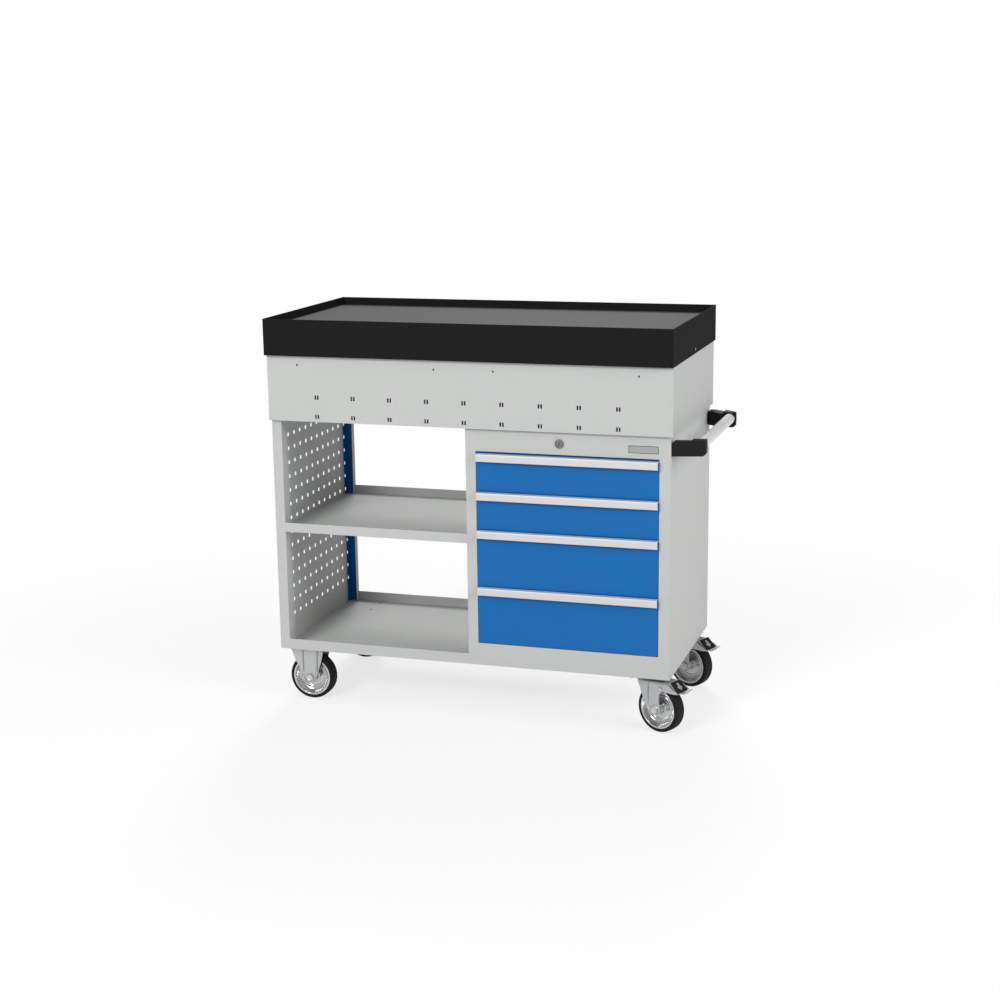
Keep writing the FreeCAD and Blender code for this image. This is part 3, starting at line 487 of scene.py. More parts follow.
finishes = {
    "body_grey": powderPaint("greyPowder", greyPowder),
    "paint_blue": powderPaint("blueEnamel", blueEnamel),
    "tray_black": powderPaint("blackPowder", blackPowder),
    "mat_grey": mouldedRubber("matRubber", matRubber),
    "strip_aluminium": brushedMetal("stripAluminium", stripAluminium),
    "tube_aluminium": brushedMetal("tubeAluminium", tubeAluminium),
    "bracket_black": mouldedRubber("bracketPlastic", blackPlastic),
    "rail_zinc": zincMetal("railZinc", zincPlate),
    "fork_zinc": zincMetal("forkZinc", zincPlate),
    "screw_steel": zincMetal("boltZinc", brightZinc),
    "lock_steel": zincMetal("lockNickel", lockNickel),
    "plate_grey": brushedMetal("plateEnamel", plateEnamel),
    "rim_grey": zincMetal("rimZinc", brightZinc),
    "tyre_rubber": mouldedRubber("tyreRubber", tyreRubber),
    "pedal_black": mouldedRubber("pedalRubber", blackPlastic),
}
print("stage: finishes", len(finishes))


def placePiece(name, mesh, node, slot=None, sharp=30.0):
    # smooth faces with edges kept sharp above an angle, riding with the body of a CAD node
    mesh.polygons.foreach_set("use_smooth", np.ones(len(mesh.polygons), bool))
    mesh.set_sharp_from_angle(angle=math.radians(sharp))
    piece = addObject(name, mesh)
    slot = slot or slotOf[node]
    mesh.materials.clear()
    mesh.materials.append(finishes[slot])
    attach(piece, nodes[node]["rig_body"])
    return piece


def standIn(name, mesh, node, sharp=30.0):
    # a piece that takes the place of its CAD node
    piece = placePiece(name, mesh, node, sharp=sharp)
    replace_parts(piece, node)
    return piece


def easeEdges(piece, width, steps=2, angle=35.0):
    bevel = piece.modifiers.new("easedEdges", "BEVEL")
    bevel.width = width * mm
    bevel.segments = steps
    bevel.limit_method = "ANGLE"
    bevel.angle_limit = math.radians(angle)
    bevel.harden_normals = True
    return piece


def pieceName(node):
    first, *rest = node.split("_")
    return first + "".join(part.capitalize() for part in rest)


def gridFaces(rows, columns, closeRows=False, closeColumns=False):
    # quads between neighbours of a rows x columns grid, wrapping round where asked
    down = np.arange(rows if closeRows else rows - 1)
    across = np.arange(columns if closeColumns else columns - 1)
    i, j = np.meshgrid(down, across, indexing="ij")
    k = (i + 1) % rows
    m = (j + 1) % columns
    faces = [i * columns + j, i * columns + m, k * columns + m, k * columns + j]
    return np.stack(faces, axis=-1).reshape(-1, 4)


def meshOf(name, parts, weld=True):
    # parts are (points in millimetres, faces counted from each part's own first point), welded and turned outwards
    points = []
    faces = []
    count = 0
    for partPoints, partFaces in parts:
        flat = np.asarray(partPoints, float).reshape(-1, 3)
        points.append(flat)
        faces.extend([[index + count for index in face] for face in partFaces])
        count += len(flat)
    mesh = bpy.data.meshes.new(name)
    mesh.from_pydata((np.concatenate(points) * mm).tolist(), [], faces)
    sheet = bmesh.new()
    sheet.from_mesh(mesh)
    if weld:
        bmesh.ops.remove_doubles(sheet, verts=sheet.verts, dist=1e-7)
    bmesh.ops.recalc_face_normals(sheet, faces=sheet.faces)
    sheet.to_mesh(mesh)
    sheet.free()
    mesh.validate()
    return mesh


def boxOf(node):
    # low and high corner of a CAD node's box, in millimetres
    return [np.array(corner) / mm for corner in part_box(node)]


def turned(profile, centre, steps=96, axis="y"):
    # a closed profile of (radius, along) turned once round an axis: centre + circle of that radius + along
    profile = np.asarray(profile, float)
    angle = np.linspace(0, 2 * math.pi, steps, endpoint=False)
    along = np.repeat(profile[:, 1][:, None], steps, axis=1)
    a = profile[:, 0][:, None] * np.cos(angle)[None, :]
    b = profile[:, 0][:, None] * np.sin(angle)[None, :]
    order = {"x": (along, a, b), "y": (b, along, a), "z": (a, b, along)}[axis]
    points = np.stack(order, axis=-1) + np.asarray(centre, float)
    return points.reshape(-1, 3), gridFaces(len(profile), steps, closeRows=True, closeColumns=True).tolist()


def roundedPath(corners, radii, steps=5):
    # a closed outline with rounded corners, each a quadratic curve from one radius before it to one after
    corners = np.asarray(corners, float)
    radii = np.broadcast_to(radii, len(corners))
    result = []
    share = np.linspace(0, 1, steps)[:, None]
    for index, corner in enumerate(corners):
        before = corners[index - 1] - corner
        after = corners[(index + 1) % len(corners)] - corner
        reach = min(radii[index], np.linalg.norm(before) * 0.49, np.linalg.norm(after) * 0.49)
        if reach <= 0:
            result.append(corner[None, :])
            continue
        start = corner + before / np.linalg.norm(before) * reach
        end = corner + after / np.linalg.norm(after) * reach
        result.append((1 - share) ** 2 * start + 2 * share * (1 - share) * corner + share ** 2 * end)
    return np.concatenate(result)


def carried(outline, start, end, plane):
    # a closed outline carried straight along the axis that the plane leaves out, capped at both ends
    outline = np.asarray(outline, float)
    count = len(outline)
    first = np.repeat(outline[None, :, 0], 2, axis=0)
    second = np.repeat(outline[None, :, 1], 2, axis=0)
    along = np.repeat(np.array([start, end], float)[:, None], count, axis=1)
    order = {"yz": (along, first, second), "xz": (first, along, second),
             "xy": (first, second, along)}[plane]
    faces = gridFaces(2, count, closeColumns=True).tolist()
    faces += [list(range(count)), list(range(count, 2 * count))]
    return np.stack(order, axis=-1).reshape(-1, 3), faces


headSteps = 36
discSteps = 48


def stacked(levels, steps, centre, axis):
    # rings of (radius, height) round an axis, one above another and capped at both ends
    angle = np.linspace(0, 2 * math.pi, steps, endpoint=False)
    rings = np.stack([np.stack([r * np.cos(angle), r * np.sin(angle), np.full(steps, float(h))], axis=-1)
                      for r, h in levels])
    turn = np.array(Vector(axis).to_track_quat("Z", "Y").to_matrix())
    last = (len(levels) - 1) * steps
    caps = [list(range(steps)), list(range(last, last + steps))]
    faces = gridFaces(len(levels), steps, closeColumns=True).tolist() + caps
    return rings.reshape(-1, 3) @ turn.T + np.asarray(centre, float), faces


def hexHead(centre, axis, radius, height):
    # six-sided head: full width up to four fifths of its height, then a chamfer to a circle and a shallow dish
    angle = np.linspace(0, 2 * math.pi, headSteps, endpoint=False)
    flat = radius * math.cos(math.pi / 6)
    reach = flat / np.cos((angle + math.pi / 6) % (math.pi / 3) - math.pi / 6)
    levels = [(reach, 0.0), (reach, height * 0.8), (flat * 0.97, height), (flat * 0.55, height),
              (flat * 0.5, height - 0.25)]
    return stacked(levels, headSteps, centre, axis)


def disc(centre, axis, radius, height, edge=0.3):
    # a washer, pin end or collar: a circle with its outer edges eased
    levels = [(radius - edge, 0), (radius, edge), (radius, height - edge), (radius - edge, height)]
    return stacked(levels, discSteps, centre, axis)


def softened(node, width, steps=2, sharp=30.0):
    # the CAD piece with its thin sheet edges eased, as folded and sprayed steel has them
    sheet = bmesh.new()
    sheet.from_mesh(nodes[node].data)
    bmesh.ops.remove_doubles(sheet, verts=sheet.verts, dist=2e-6)
    bmesh.ops.dissolve_limit(sheet, angle_limit=math.radians(0.3), verts=sheet.verts, edges=sheet.edges)
    mesh = bpy.data.meshes.new(node)
    sheet.to_mesh(mesh)
    sheet.free()
    piece = easeEdges(placePiece(pieceName(node), mesh, node, sharp=sharp), width, steps)
    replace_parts(piece, node)
    return piece


sheetEdges = {                           # how far each folded piece's edges are eased
    "top_tray": 0.7, "housing_front": 0.3, "housing_back": 0.3, "housing_end_right": 0.3, "housing_end_left": 0.3,
    "side_panel_left": 0.3, "side_panel_right": 0.4, "rear_panel": 0.4, "front_post_left": 0.5, "rear_post_left": 0.5,
    "rear_upright_blue": 0.3, "bottom_tray": 0.5, "middle_shelf": 0.5, "divider_panel": 0.3, "drawer_frame": 0.5,
    "handle_bracket_front": 1.2, "handle_bracket_rear": 1.2, "lock_cylinder": 0.3, "drawer_fixed_rails": 0.3,
    "tray_screws": 0.15, "nameplate": 0.2, "handle_screws": 0.4,
}
for number in range(1, 5):
    sheetEdges["drawer_%d_front" % number] = 0.45
    sheetEdges["drawer_%d_box" % number] = 0.3
    sheetEdges["drawer_%d_middle_rails" % number] = 0.8
for node, width in sheetEdges.items():
    softened(node, width, 3 if width > 0.6 else 2)
print("stage: eased sheet pieces", len(sheetEdges))

mat = {"corner": 1.5, "edge": 0.4}


def makeMat():
    # a rounded rectangle between the tray's walls, as thick as the CAD plate
    low, high = boxOf("tray_mat")
    corners = [(low[0], low[1]), (high[0], low[1]), (high[0], high[1]), (low[0], high[1])]
    mesh = meshOf("trayMat", [carried(roundedPath(corners, mat["corner"]), low[2], high[2], "xy")])
    easeEdges(standIn("trayMat", mesh, "tray_mat"), mat["edge"], angle=60.0)


strip = {"wall": 1.8, "nose": 3.2, "lip": 0.8, "bead": 0.35, "beadTop": (2.0, 2.6), "ease": 0.25,
         "groove": 0.3, "grooveAt": (1.2, 1.5, 2.1, 2.4)}


def makeStrip(number):
    # an extruded grip, its section carried along X: flat top, rounded nose, hanging lip with a beaded edge
    node = "drawer_%d_handle" % number
    low, high = boxOf(node)
    nose, back, top, base = low[1], high[1], high[2], low[2]
    wall = strip["wall"]
    a, b, c, d = (back - step for step in strip["grooveAt"])
    bed = top - strip["groove"]
    inner = nose + wall
    bead = inner + strip["bead"]
    lower, upper = (base + step for step in strip["beadTop"])
    corners = [(back, top), (a, top), (b, bed), (c, bed), (d, top), (nose, top), (nose, base), (bead, base),
               (bead, lower), (inner, upper), (inner, top - wall), (back, top - wall)]
    radii = [0, 0.1, 0.1, 0.1, 0.1, strip["nose"], strip["lip"], strip["lip"], 0.5, 0.3, 1.5, 0]
    mesh = meshOf(pieceName(node), [carried(roundedPath(corners, radii, 9), low[0], high[0], "yz")])
    easeEdges(standIn(pieceName(node), mesh, node, sharp=25.0), strip["ease"], angle=60.0)


tube = {"wall": 2.0, "ease": 0.5}


def makeTube():
    # a round tube along Y between the brackets, its ends eased
    low, high = boxOf("handle_tube")
    radius = (high[0] - low[0]) / 2
    half = (high[1] - low[1]) / 2
    ring = [(radius, -half), (radius, half), (radius - tube["wall"], half), (radius - tube["wall"], -half)]
    mesh = meshOf("handleTube", [turned(roundedPath(ring, tube["ease"]), (low + high) / 2)])
    standIn("handleTube", mesh, "handle_tube")


makeMat()
for number in range(1, 5):
    makeStrip(number)
makeTube()
print("stage: mat, handle strips and push handle")

jointAt = {joint["name"]: np.array(joint["pos_m"]) / mm for joint in frame["joints"] if "pos_m" in joint}
spinAxis = next(joint["axis"] for joint in frame["joints"] if joint["name"] == "swivel_wheel_spin_front")
restTurn = math.atan2(-spinAxis[0], spinAxis[1])   # how far the swivel castors stand turned at rest


def about(points, side, angle):
    # points turned about a swivel castor's king pin
    king = jointAt["swivel_turn_" + side]
    away = np.asarray(points, float).reshape(-1, 3) - king
    x = away[:, 0] * math.cos(angle) - away[:, 1] * math.sin(angle)
    y = away[:, 0] * math.sin(angle) + away[:, 1] * math.cos(angle)
    return np.stack([x, y, away[:, 2]], axis=-1) + king


def straight(name, side):
    # a joint's place with the castor turned straight
    return about(jointAt[name + side], side, -restTurn)[0]


def stood(parts, side):
    # parts built on a straight castor, turned to where it stands
    return [(about(points, side, restTurn), faces) for points, faces in parts]


wheel = {
    "seat": 52.5, "hub": 13.0, "hubHalf": 22.2, "bore": 6.05,
    "crown": 0.25, "squareness": 5.5, "seam": 0.2, "ring": (54.8, 57.2), "ringHeight": 0.35, "steps": 128,
}


def tyreProfile(radius, half):
    # half a superellipse, plus a raised ring on each side wall and a fine parting line round the tread
    t = np.linspace(0, math.pi, 73)
    power = 2 / wheel["squareness"]
    along = -(half - wheel["ringHeight"]) * np.sign(np.cos(t)) * np.abs(np.cos(t)) ** power
    height = wheel["seat"] + (radius - wheel["seam"] - wheel["seat"]) * np.abs(np.sin(t)) ** power
    inner, outer = wheel["ring"]
    window = 1 / (1 + np.exp(-(height - inner) * 6)) / (1 + np.exp((height - outer) * 6))
    along = along + np.sign(along) * window * wheel["ringHeight"]
    seam = wheel["seam"] * np.exp(-(along / 0.5) ** 2)
    return np.stack([height + seam, along], axis=-1)


def rimProfile(half):
    # section of a pressed wheel disc: hub tube, flat, raised bead, dish and rolled lip, the same on both sides
    seat, hub, hubHalf = wheel["seat"], wheel["hub"], wheel["hubHalf"]
    side = [(wheel["bore"], hubHalf, 0), (hub - 3, hubHalf, 0.6), (hub, hubHalf - 1.2, 0.8), (hub, 4.2, 1.6),
            (hub + 3.5, 2.3, 2.0), (29.5, 2.3, 1.0), (31.0, 4.4, 1.4), (34.0, 4.4, 1.4), (35.8, 3.0, 1.2),
            (41.0, 5.2, 3.0), (46.6, half - 4.0, 3.0), (48.2, half - 0.4, 0.8), (49.4, half, 0.6),
            (seat, half, 0.9), (seat, half - 6.5, 0.5)]
    mirrored = [(r, -y, ease) for r, y, ease in reversed(side)]
    rows = np.array(side + [(38.5, 0.6, 0.0), (38.5, -0.6, 0.0)] + mirrored)
    return roundedPath(rows[:, :2], rows[:, 2], 6)


def makeWheels():
    low, high = boxOf("fixed_tyre_front")
    radius = (high[2] - low[2]) / 2
    half = (high[1] - low[1]) / 2
    for kind in ("fixed", "swivel"):
        for side in ("front", "rear"):
            tyreNode = "%s_tyre_%s" % (kind, side)
            rimNode = "%s_rim_%s" % (kind, side)
            joint = "%s_wheel_spin_" % kind
            centre = jointAt[joint + side] if kind == "fixed" else straight(joint, side)
            tyreParts = [turned(tyreProfile(radius, half), centre, wheel["steps"])]
            rimParts = [turned(rimProfile(half), centre, wheel["steps"])]
            if kind == "swivel":
                tyreParts, rimParts = stood(tyreParts, side), stood(rimParts, side)
            for node, parts in ((tyreNode, tyreParts), (rimNode, rimParts)):
                standIn(pieceName(node), meshOf(pieceName(node), parts), node, sharp=40.0)


makeWheels()
print("stage: wheels")

boltDrop = 5.0                           # how far the castor bolts' heads hang below the plates
plateBase = boxOf("castor_bolts")[0][2] + boltDrop

fork = {
    "thick": 3.0, "legMiddle": 24.2, "bend": 6.0, "edge": 0.5,
    "across": 61, "footRows": 14, "roundRows": 19, "legRows": 46, "bendRows": 8, "crownRows": 9,
    "raise": 2.0, "raiseEase": 2.4, "dip": 2.0, "dipWidth": 3.6, "dipFrom": 10.0, "dipRun": 12.0,
}

# each leg's left and right edge as (height above the axle, distance from it), and the raised middle's edges
legShapes = {
    "fixed": {"foot": 15.5, "ribFoot": 12.5, "top": 84.5, "dipRight": 1.0,
              "left": [(20.5, -27.0), (43.5, -41.3), (84.5, -57.0)],
              "right": [(26.5, 25.2), (45.5, 32.2), (84.5, 40.0)],
              "ribLeft": [(12.5, -16.5), (84.5, -16.5)], "ribRight": [(25.5, 16.5), (84.5, 19.5)]},
    "swivel": {"foot": 14.5, "ribFoot": 11.0, "top": 75.5, "dipRight": 0.0,
               "left": [(13.5, -30.0), (28.5, -40.0), (39.0, -44.5), (75.5, -60.0)],
               "right": [(17.5, 11.6), (40.5, 11.6), (53.0, 21.0), (53.1, 62.0), (56.0, 68.5), (75.5, 33.5)],
               "ribLeft": [(15.5, -20.0), (75.5, -20.0)],
               "ribRight": [(17.5, 14.0), (40.5, 14.0), (53.1, 80.0), (75.5, 80.0)]},
}


def edgeTable(radius, rows, side, endAngle):
    # an edge as heights and distances: a circle round the axle from its lowest point, then straight runs
    angle = np.radians(np.linspace(0, endAngle, fork["roundRows"]))
    heights = np.concatenate([-radius * np.cos(angle), [row[0] for row in rows]])
    reach = np.concatenate([side * radius * np.sin(angle), [row[1] for row in rows]])
    return heights, reach


def ease(share):
    # smooth step: 3t^2 - 2t^3 of a share kept between 0 and 1
    share = np.clip(share, 0, 1)
    return share * share * (3 - 2 * share)


def forkGrid(kind, axle):
    # a U of sheet: the leg's edges set each row's width, and rows run up the front leg, over and down the rear
    shape = legShapes[kind]
    top = shape["top"] - fork["thick"] / 2
    straight = top - fork["bend"]
    foot = -shape["foot"] * np.cos(np.linspace(0, math.radians(100), fork["footRows"]))
    upper = np.concatenate([np.linspace(foot[-1], straight, fork["legRows"])[1:],
                            [row[0] for row in shape["right"] if foot[-1] < row[0] < straight]])
    legHeights = np.concatenate([foot, np.sort(upper)])
    turn = np.linspace(0, math.pi / 2, fork["bendRows"])[1:]
    middle = fork["legMiddle"]
    bendHeights = straight + fork["bend"] * np.sin(turn)
    bendDepths = -middle + fork["bend"] * (1 - np.cos(turn))
    crown = np.linspace(bendDepths[-1], -bendDepths[-1], fork["crownRows"])[1:-1]
    heights = np.concatenate([legHeights, bendHeights, np.full(len(crown), top),
                              bendHeights[::-1], legHeights[::-1]])
    depths = np.concatenate([np.full(len(legHeights), -middle), bendDepths, crown, -bendDepths[::-1],
                             np.full(len(legHeights), middle)])
    lean = np.concatenate([np.zeros(len(legHeights)), turn, np.full(len(crown), math.pi / 2),
                           turn[::-1], np.zeros(len(legHeights))])
    left = np.interp(heights, *edgeTable(shape["foot"], shape["left"], -1, 95))
    right = np.interp(heights, *edgeTable(shape["foot"], shape["right"], 1, 70))
    ribLeft = np.interp(heights, *edgeTable(shape["ribFoot"], shape["ribLeft"], -1, 95))
    ribRight = np.interp(heights, *edgeTable(shape["ribFoot"], shape["ribRight"], 1, 80))
    share = np.linspace(0, 1, fork["across"])[None, :]
    x = left[:, None] + (right - left)[:, None] * share
    inside = np.minimum(x - ribLeft[:, None], ribRight[:, None] - x)
    fade = ease((math.pi / 2 - lean) / (math.pi / 2))[:, None]
    bulge = fork["raise"] * ease(inside / fork["raiseEase"] + 0.5) * fade
    beside = np.exp(-((inside + fork["dipWidth"]) / (fork["dipWidth"] / 2)) ** 2)
    beside = beside * np.where(x > ribRight[:, None], shape["dipRight"], 1.0)
    high = ease((heights - fork["dipFrom"]) / fork["dipRun"])[:, None]
    bulge = bulge - fork["dip"] * beside * high * fade
    outward = np.sign(depths)[:, None] * np.cos(lean)[:, None]
    y = depths[:, None] + outward * bulge
    z = heights[:, None] + np.sin(lean)[:, None] * bulge
    points = np.stack([x + axle[0], y + axle[1], z + axle[2]], axis=-1)
    return points.reshape(-1, 3), gridFaces(len(heights), fork["across"]).tolist()


def makeFork(name, kind, side, node):
    joint = "%s_wheel_spin_" % kind
    if kind == "fixed":
        parts = [forkGrid(kind, jointAt[joint + side])]
    else:
        parts = stood([forkGrid(kind, straight(joint, side))], side)
    piece = standIn(name, meshOf(name, parts), node, sharp=50.0)
    wall = piece.modifiers.new("sheet", "SOLIDIFY")
    wall.thickness = fork["thick"] * mm
    wall.offset = 0.0
    easeEdges(piece, fork["edge"], angle=60.0)


castorPlate = {"length": 105.0, "width": 85.0, "thick": 3.0, "corner": 6.0, "edge": 0.5, "fixedOffset": -7.0,
               "holeX": 40.0, "holeY": 34.0}
race = {"radius": 33.0, "height": 6.0, "cover": 24.0, "coverHeight": 2.6, "crownDrop": 9.0, "crownThick": 4.0,
        "gap": 0.3, "pin": 6.0, "pinReach": 1.5, "nut": 10.0, "nutHeight": 4.0}


def makeCastorPlate(name, node, x, y):
    # a plate with rounded corners, carried up by its thickness
    dx, dy = castorPlate["length"] / 2, castorPlate["width"] / 2
    corners = [(x - dx, y - dy), (x + dx, y - dy), (x + dx, y + dy), (x - dx, y + dy)]
    outline = roundedPath(corners, castorPlate["corner"], 7)
    mesh = meshOf(name, [carried(outline, plateBase, plateBase + castorPlate["thick"], "xy")])
    easeEdges(standIn(name, mesh, node), castorPlate["edge"], angle=60.0)


def makeMountings():
    # fixed castors: plate and fork; swivel castors: plate, upper race and king nut above, lower race on the fork
    for side in ("Front", "Rear"):
        fixedAxle = jointAt["fixed_wheel_spin_" + side.lower()]
        makeFork("fixedFork" + side, "fixed", side.lower(), "fixed_forks")
        makeCastorPlate("fixedPlate" + side, "fixed_forks", fixedAxle[0] + castorPlate["fixedOffset"], fixedAxle[1])

        x, y, _ = jointAt["swivel_turn_" + side.lower()]
        makeCastorPlate("swivelPlate" + side, "swivel_top_plates", x, y)
        r, h = race["radius"], race["height"]
        section = [(4.0, 0), (r - 9, 0), (r - 8, 0.8), (r - 4, 0.8), (r - 3, 0), (r, 0), (r, h), (4.0, h)]
        outline = roundedPath(section, [0, 0.3, 0.5, 0.5, 0.3, 1.8, 2.6, 0], 6)
        ring = turned(outline, (x, y, plateBase - h), 96, "z")
        nutTop = plateBase - race["crownDrop"] - race["crownThick"] - race["gap"]
        nut = hexHead((x, y, nutTop), (0, 0, -1), race["nut"], race["nutHeight"])
        pinFoot = nutTop - race["nutHeight"] - race["pinReach"]
        pin = disc((x, y, pinFoot), (0, 0, 1), race["pin"] - 0.8, 2.0)
        mesh = meshOf("upperRace" + side, [ring, nut, pin], weld=False)
        standIn("upperRace" + side, mesh, "swivel_top_plates")

        node = "swivel_fork_" + side.lower()
        makeFork("swivelFork" + side, "swivel", side.lower(), node)
        bore, cover, rise = race["pin"] + 0.2, race["cover"], race["coverHeight"]
        section = [(bore, 0), (cover + 6, 0), (cover + 6, 0.5), (cover, rise), (bore, rise)]
        outline = roundedPath(section, [0, 0.2, 0.3, 1.0, 0], 6)
        mesh = meshOf("lowerRace" + side, [turned(outline, (x, y, plateBase - race["crownDrop"]), 96, "z")])
        standIn("lowerRace" + side, mesh, node)


bolt = {"head": 10.0, "headHeight": 4.2, "washer": 10.2, "washerHeight": 0.8, "legFace": 27.7, "thread": 5.4,
        "threadReach": 1.6, "plateHead": 6.5, "plateHeadHeight": 4.0, "plateWasher": 7.4, "pinHead": 5.5,
        "pinHeadHeight": 2.0, "pinHeadAt": 27.7}


def axleParts(axle):
    # washer and hexagon head in front, washer, nut and thread end behind
    parts = []
    for side in (-1, 1):
        face = axle + np.array([0, side * bolt["legFace"], 0])
        step = np.array([0, side * bolt["washerHeight"], 0])
        parts.append(disc(face, (0, side, 0), bolt["washer"], bolt["washerHeight"], 0.2))
        parts.append(hexHead(face + step, (0, side, 0), bolt["head"], bolt["headHeight"]))
    end = axle + np.array([0, bolt["legFace"] + bolt["washerHeight"] + bolt["headHeight"] - 0.4, 0])
    parts.append(disc(end, (0, 1, 0), bolt["thread"], bolt["threadReach"]))
    shank = [(3.0, -bolt["legFace"]), (6.0, -bolt["legFace"]), (6.0, bolt["legFace"]), (3.0, bolt["legFace"])]
    parts.append(turned(shank, axle, 48))
    return parts


def makeBolts():
    fixed = [part for side in ("front", "rear") for part in axleParts(jointAt["fixed_wheel_spin_" + side])]
    standIn("fixedAxles", meshOf("fixedAxles", fixed, weld=False), "fixed_axles")
    plateBolts = []
    for side in ("front", "rear"):
        parts = axleParts(straight("swivel_wheel_spin_", side))
        pin = straight("pedal_press_", side)
        for way in (-1, 1):
            at = pin + np.array([0, way * bolt["pinHeadAt"], 0])
            parts.append(disc(at, (0, way, 0), bolt["pinHead"], bolt["pinHeadHeight"], 0.6))
            shank = [(0.5, -8.0), (3.0, -8.0), (3.0, 0.5), (0.5, 0.5)]
            parts.append(turned([(r, way * along) for r, along in shank], at, 32))
        node = "swivel_axle_" + side
        standIn(pieceName(node), meshOf(pieceName(node), stood(parts, side), weld=False), node)
        fixedAxle = jointAt["fixed_wheel_spin_" + side]
        king = jointAt["swivel_turn_" + side]
        for centre in ((fixedAxle[0] + castorPlate["fixedOffset"], fixedAxle[1]), (king[0], king[1])):
            for dx in (-castorPlate["holeX"], castorPlate["holeX"]):
                for dy in (-castorPlate["holeY"], castorPlate["holeY"]):
                    at = (centre[0] + dx, centre[1] + dy, plateBase)
                    plateBolts.append(disc(at, (0, 0, -1), bolt["plateWasher"], 1.0, 0.2))
                    plateBolts.append(hexHead((at[0], at[1], plateBase - 1.0), (0, 0, -1), bolt["plateHead"],
                                              bolt["plateHeadHeight"]))
    standIn("castorBolts", meshOf("castorBolts", plateBolts, weld=False), "castor_bolts")


pedal = {
    "top": (77.0, 141.4), "end": (102.9, 116.2),   # tread's ends: along X from the king pin, height
    "half": 20.5, "inset": 1.2, "low": -0.4, "high": 2.1, "corner": 1.6, "ribs": 6, "ribHeight": 0.5,
    "rows": 120, "columns": 60, "carrierEdge": 0.8,
    "arrow": [(8, -4), (19, -4), (19, -10), (30, 0), (19, 10), (19, 4), (8, 4)], "arrowHeight": (1.9, 2.8),
    "arrowEdge": 0.2,
}


def treadRun():
    return math.hypot(pedal["end"][0] - pedal["top"][0], pedal["end"][1] - pedal["top"][1])


def onPedal(points, side):
    # points given as (down the slope, across, out of the face) put on the sloping tread
    king = jointAt["swivel_turn_" + side]
    downX = (pedal["end"][0] - pedal["top"][0]) / treadRun()
    downZ = (pedal["end"][1] - pedal["top"][1]) / treadRun()
    points = np.asarray(points, float).reshape(-1, 3)
    x = king[0] + pedal["top"][0] + points[:, 0] * downX - points[:, 2] * downZ
    z = pedal["top"][1] + points[:, 0] * downZ + points[:, 2] * downX
    return about(np.stack([x, king[1] + points[:, 1], z], axis=-1), side, restTurn)


def padGrid(run):
    # a slab over the tread: its height rises from the rim along a quarter circle, with ribs across as a cosine
    low, high, inset = pedal["low"], pedal["high"], pedal["inset"]
    u = inset + (run - 2 * inset) * (1 - np.cos(np.linspace(0, math.pi, pedal["rows"]))) / 2
    v = -pedal["half"] * np.cos(np.linspace(0, math.pi, pedal["columns"]))
    gridU, gridV = np.meshgrid(u, v, indexing="ij")
    rim = np.minimum(np.minimum(gridU - u[0], u[-1] - gridU), np.minimum(gridV - v[0], v[-1] - gridV))
    share = np.clip(rim / pedal["corner"], 0, 1)
    face = high * np.sqrt(1 - (1 - share) ** 2) + low * (1 - ease(rim / 0.4))
    wave = 2 * math.pi * pedal["ribs"] * (gridU - u[0]) / (u[-1] - u[0]) + math.pi
    ribs = pedal["ribHeight"] * ease(np.cos(wave) + 0.5)
    face = face + ribs * ease((rim - 1.5) / 1.5)
    upper = np.stack([gridU, gridV, face], axis=-1).reshape(-1, 3)
    lower = np.stack([gridU, gridV, np.full_like(gridU, low)], axis=-1).reshape(-1, 3)
    faces = gridFaces(len(u), len(v))
    return np.concatenate([upper, lower]), np.concatenate([faces, faces + len(upper)]).tolist()


def makePedal(side):
    # steel carrier, and on it a ribbed rubber pad with a raised arrow
    node = "brake_pedal_" + side
    name = pieceName(node)
    carrier = softened(node, pedal["carrierEdge"])
    carrier.data.materials[0] = finishes["fork_zinc"]

    points, faces = padGrid(treadRun())
    standIn(name + "Pad", meshOf(name + "Pad", [(onPedal(points, side), faces)]), node, sharp=50.0)
    low, high = pedal["arrowHeight"]
    points, faces = carried(roundedPath(pedal["arrow"], 0.6), low, high, "xy")
    mesh = meshOf(name + "Arrow", [(onPedal(points, side), faces)])
    easeEdges(placePiece(name + "Arrow", mesh, node, "plate_grey"), pedal["arrowEdge"], angle=60.0)


makeMountings()
makeBolts()
for side in ("front", "rear"):
    makePedal(side)
print("stage: castors")

lock = {"bore": 7.1, "rosette": 12.0, "thick": 3.0, "barrel": 9.0, "depth": 22.0}


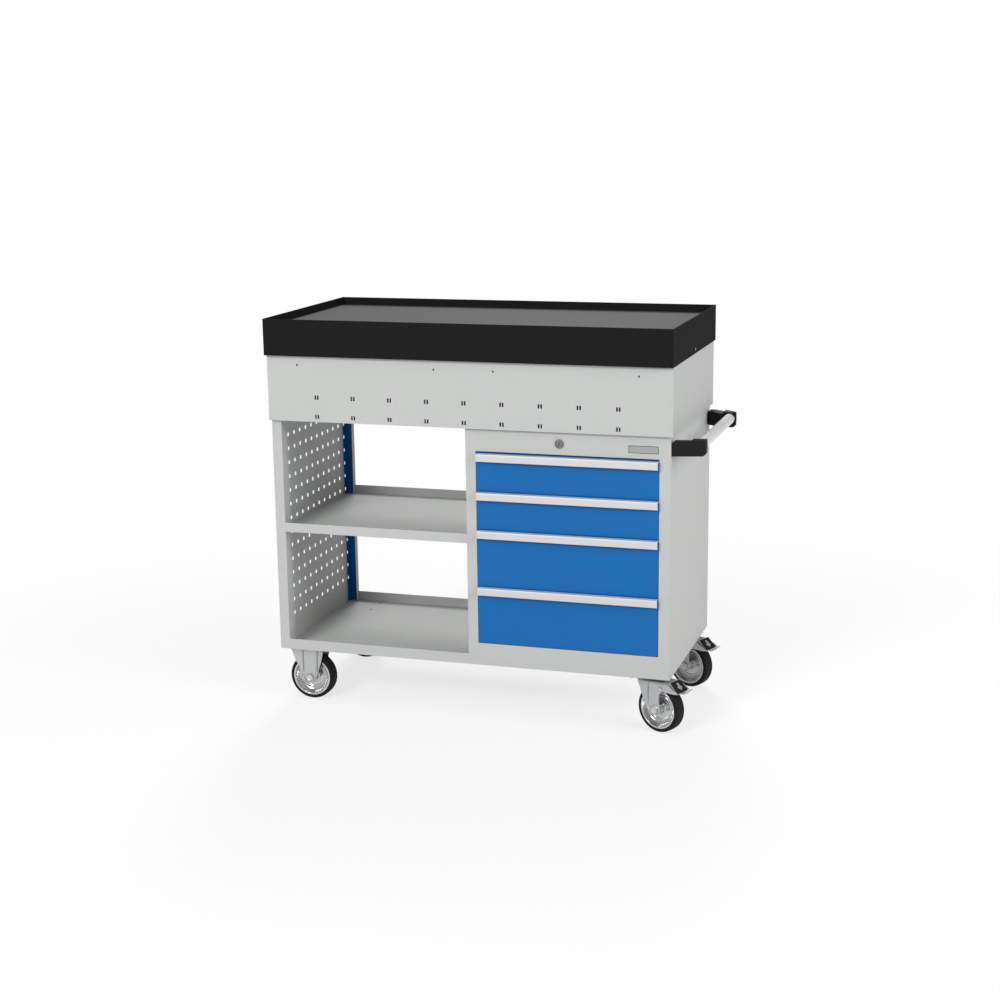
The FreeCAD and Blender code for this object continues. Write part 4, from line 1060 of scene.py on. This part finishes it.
def makeLock():
    # rosette with a shallow ring and an eased rim, in one turned piece with the barrel behind it
    low, high = boxOf("lock_body")
    centre = np.array([(low[0] + high[0]) / 2, low[1], (low[2] + high[2]) / 2])
    b, r, t = lock["bore"], lock["rosette"], lock["thick"]
    section = [(b, 0.5), (b + 0.5, 0), (9.4, 0), (9.8, 0.35), (10.2, 0.35), (10.6, 0.1), (r - 0.6, 0.3),
               (r, 1.2), (r, t), (lock["barrel"], t), (lock["barrel"], t + lock["depth"]), (b, t + lock["depth"])]
    radii = [0.2, 0.2, 0.15, 0.1, 0.1, 0.2, 0.5, 0.5, 0.0, 0.0, 0.4, 0.0]
    mesh = meshOf("lockBody", [turned(roundedPath(section, radii), centre, 96)])
    standIn("lockBody", mesh, "lock_body")


frameLine = {"width": 0.8, "proud": 0.12, "sunk": 0.4}


def makePlateBorder():
    # a thin dark line round the blank plate: four bars, each a rectangle carried along Y
    low, high = boxOf("nameplate")
    parts = []
    w = frameLine["width"]
    y0, y1 = low[1] - frameLine["proud"], low[1] + frameLine["sunk"]
    for x0, x1, z0, z1 in ((low[0], high[0], low[2], low[2] + w), (low[0], high[0], high[2] - w, high[2]),
                           (low[0], low[0] + w, low[2] + w, high[2] - w),
                           (high[0] - w, high[0], low[2] + w, high[2] - w)):
        parts.append(carried([(x0, z0), (x1, z0), (x1, z1), (x0, z1)], y0, y1, "xz"))
    placePiece("nameplateBorder", meshOf("nameplateBorder", parts, weld=False), "nameplate", "bracket_black")


# place of a dark strip of painted shade in the gap behind the apron's lower slots, in millimetres
shadeStrip = {"left": -570.25, "right": 489.75, "front": -257.8, "back": -248.2, "low": 777.0, "high": 789.8,
        "corner": 1.5}


def makeSlotShadeStrip():
    # a dark strip filling the gap between the apron and the cabinet's front, behind the lower slots, as painted shade
    # so that the slots read dark
    y0, y1, z0, z1 = (shadeStrip[key] for key in ("front", "back", "low", "high"))
    outline = roundedPath([(y0, z0), (y1, z0), (y1, z1), (y0, z1)], shadeStrip["corner"])
    mesh = meshOf("gapSeal", [carried(outline, shadeStrip["left"], shadeStrip["right"], "yz")])
    placePiece("gapSeal", mesh, "housing_front", "bracket_black")


makeLock()
makePlateBorder()
makeSlotShadeStrip()
print("stage: lock, nameplate and slot shade strip")

replaced = {node for piece in bpy.data.objects for node in piece.get("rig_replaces", [])}
kept = [node for node in nodes if node not in replaced]
for node in kept:
    nodes[node].data.materials.clear()
    nodes[node].data.materials.append(finishes[slotOf[node]])
print("stage: finishes on", len(kept), "CAD pieces:", ", ".join(kept))
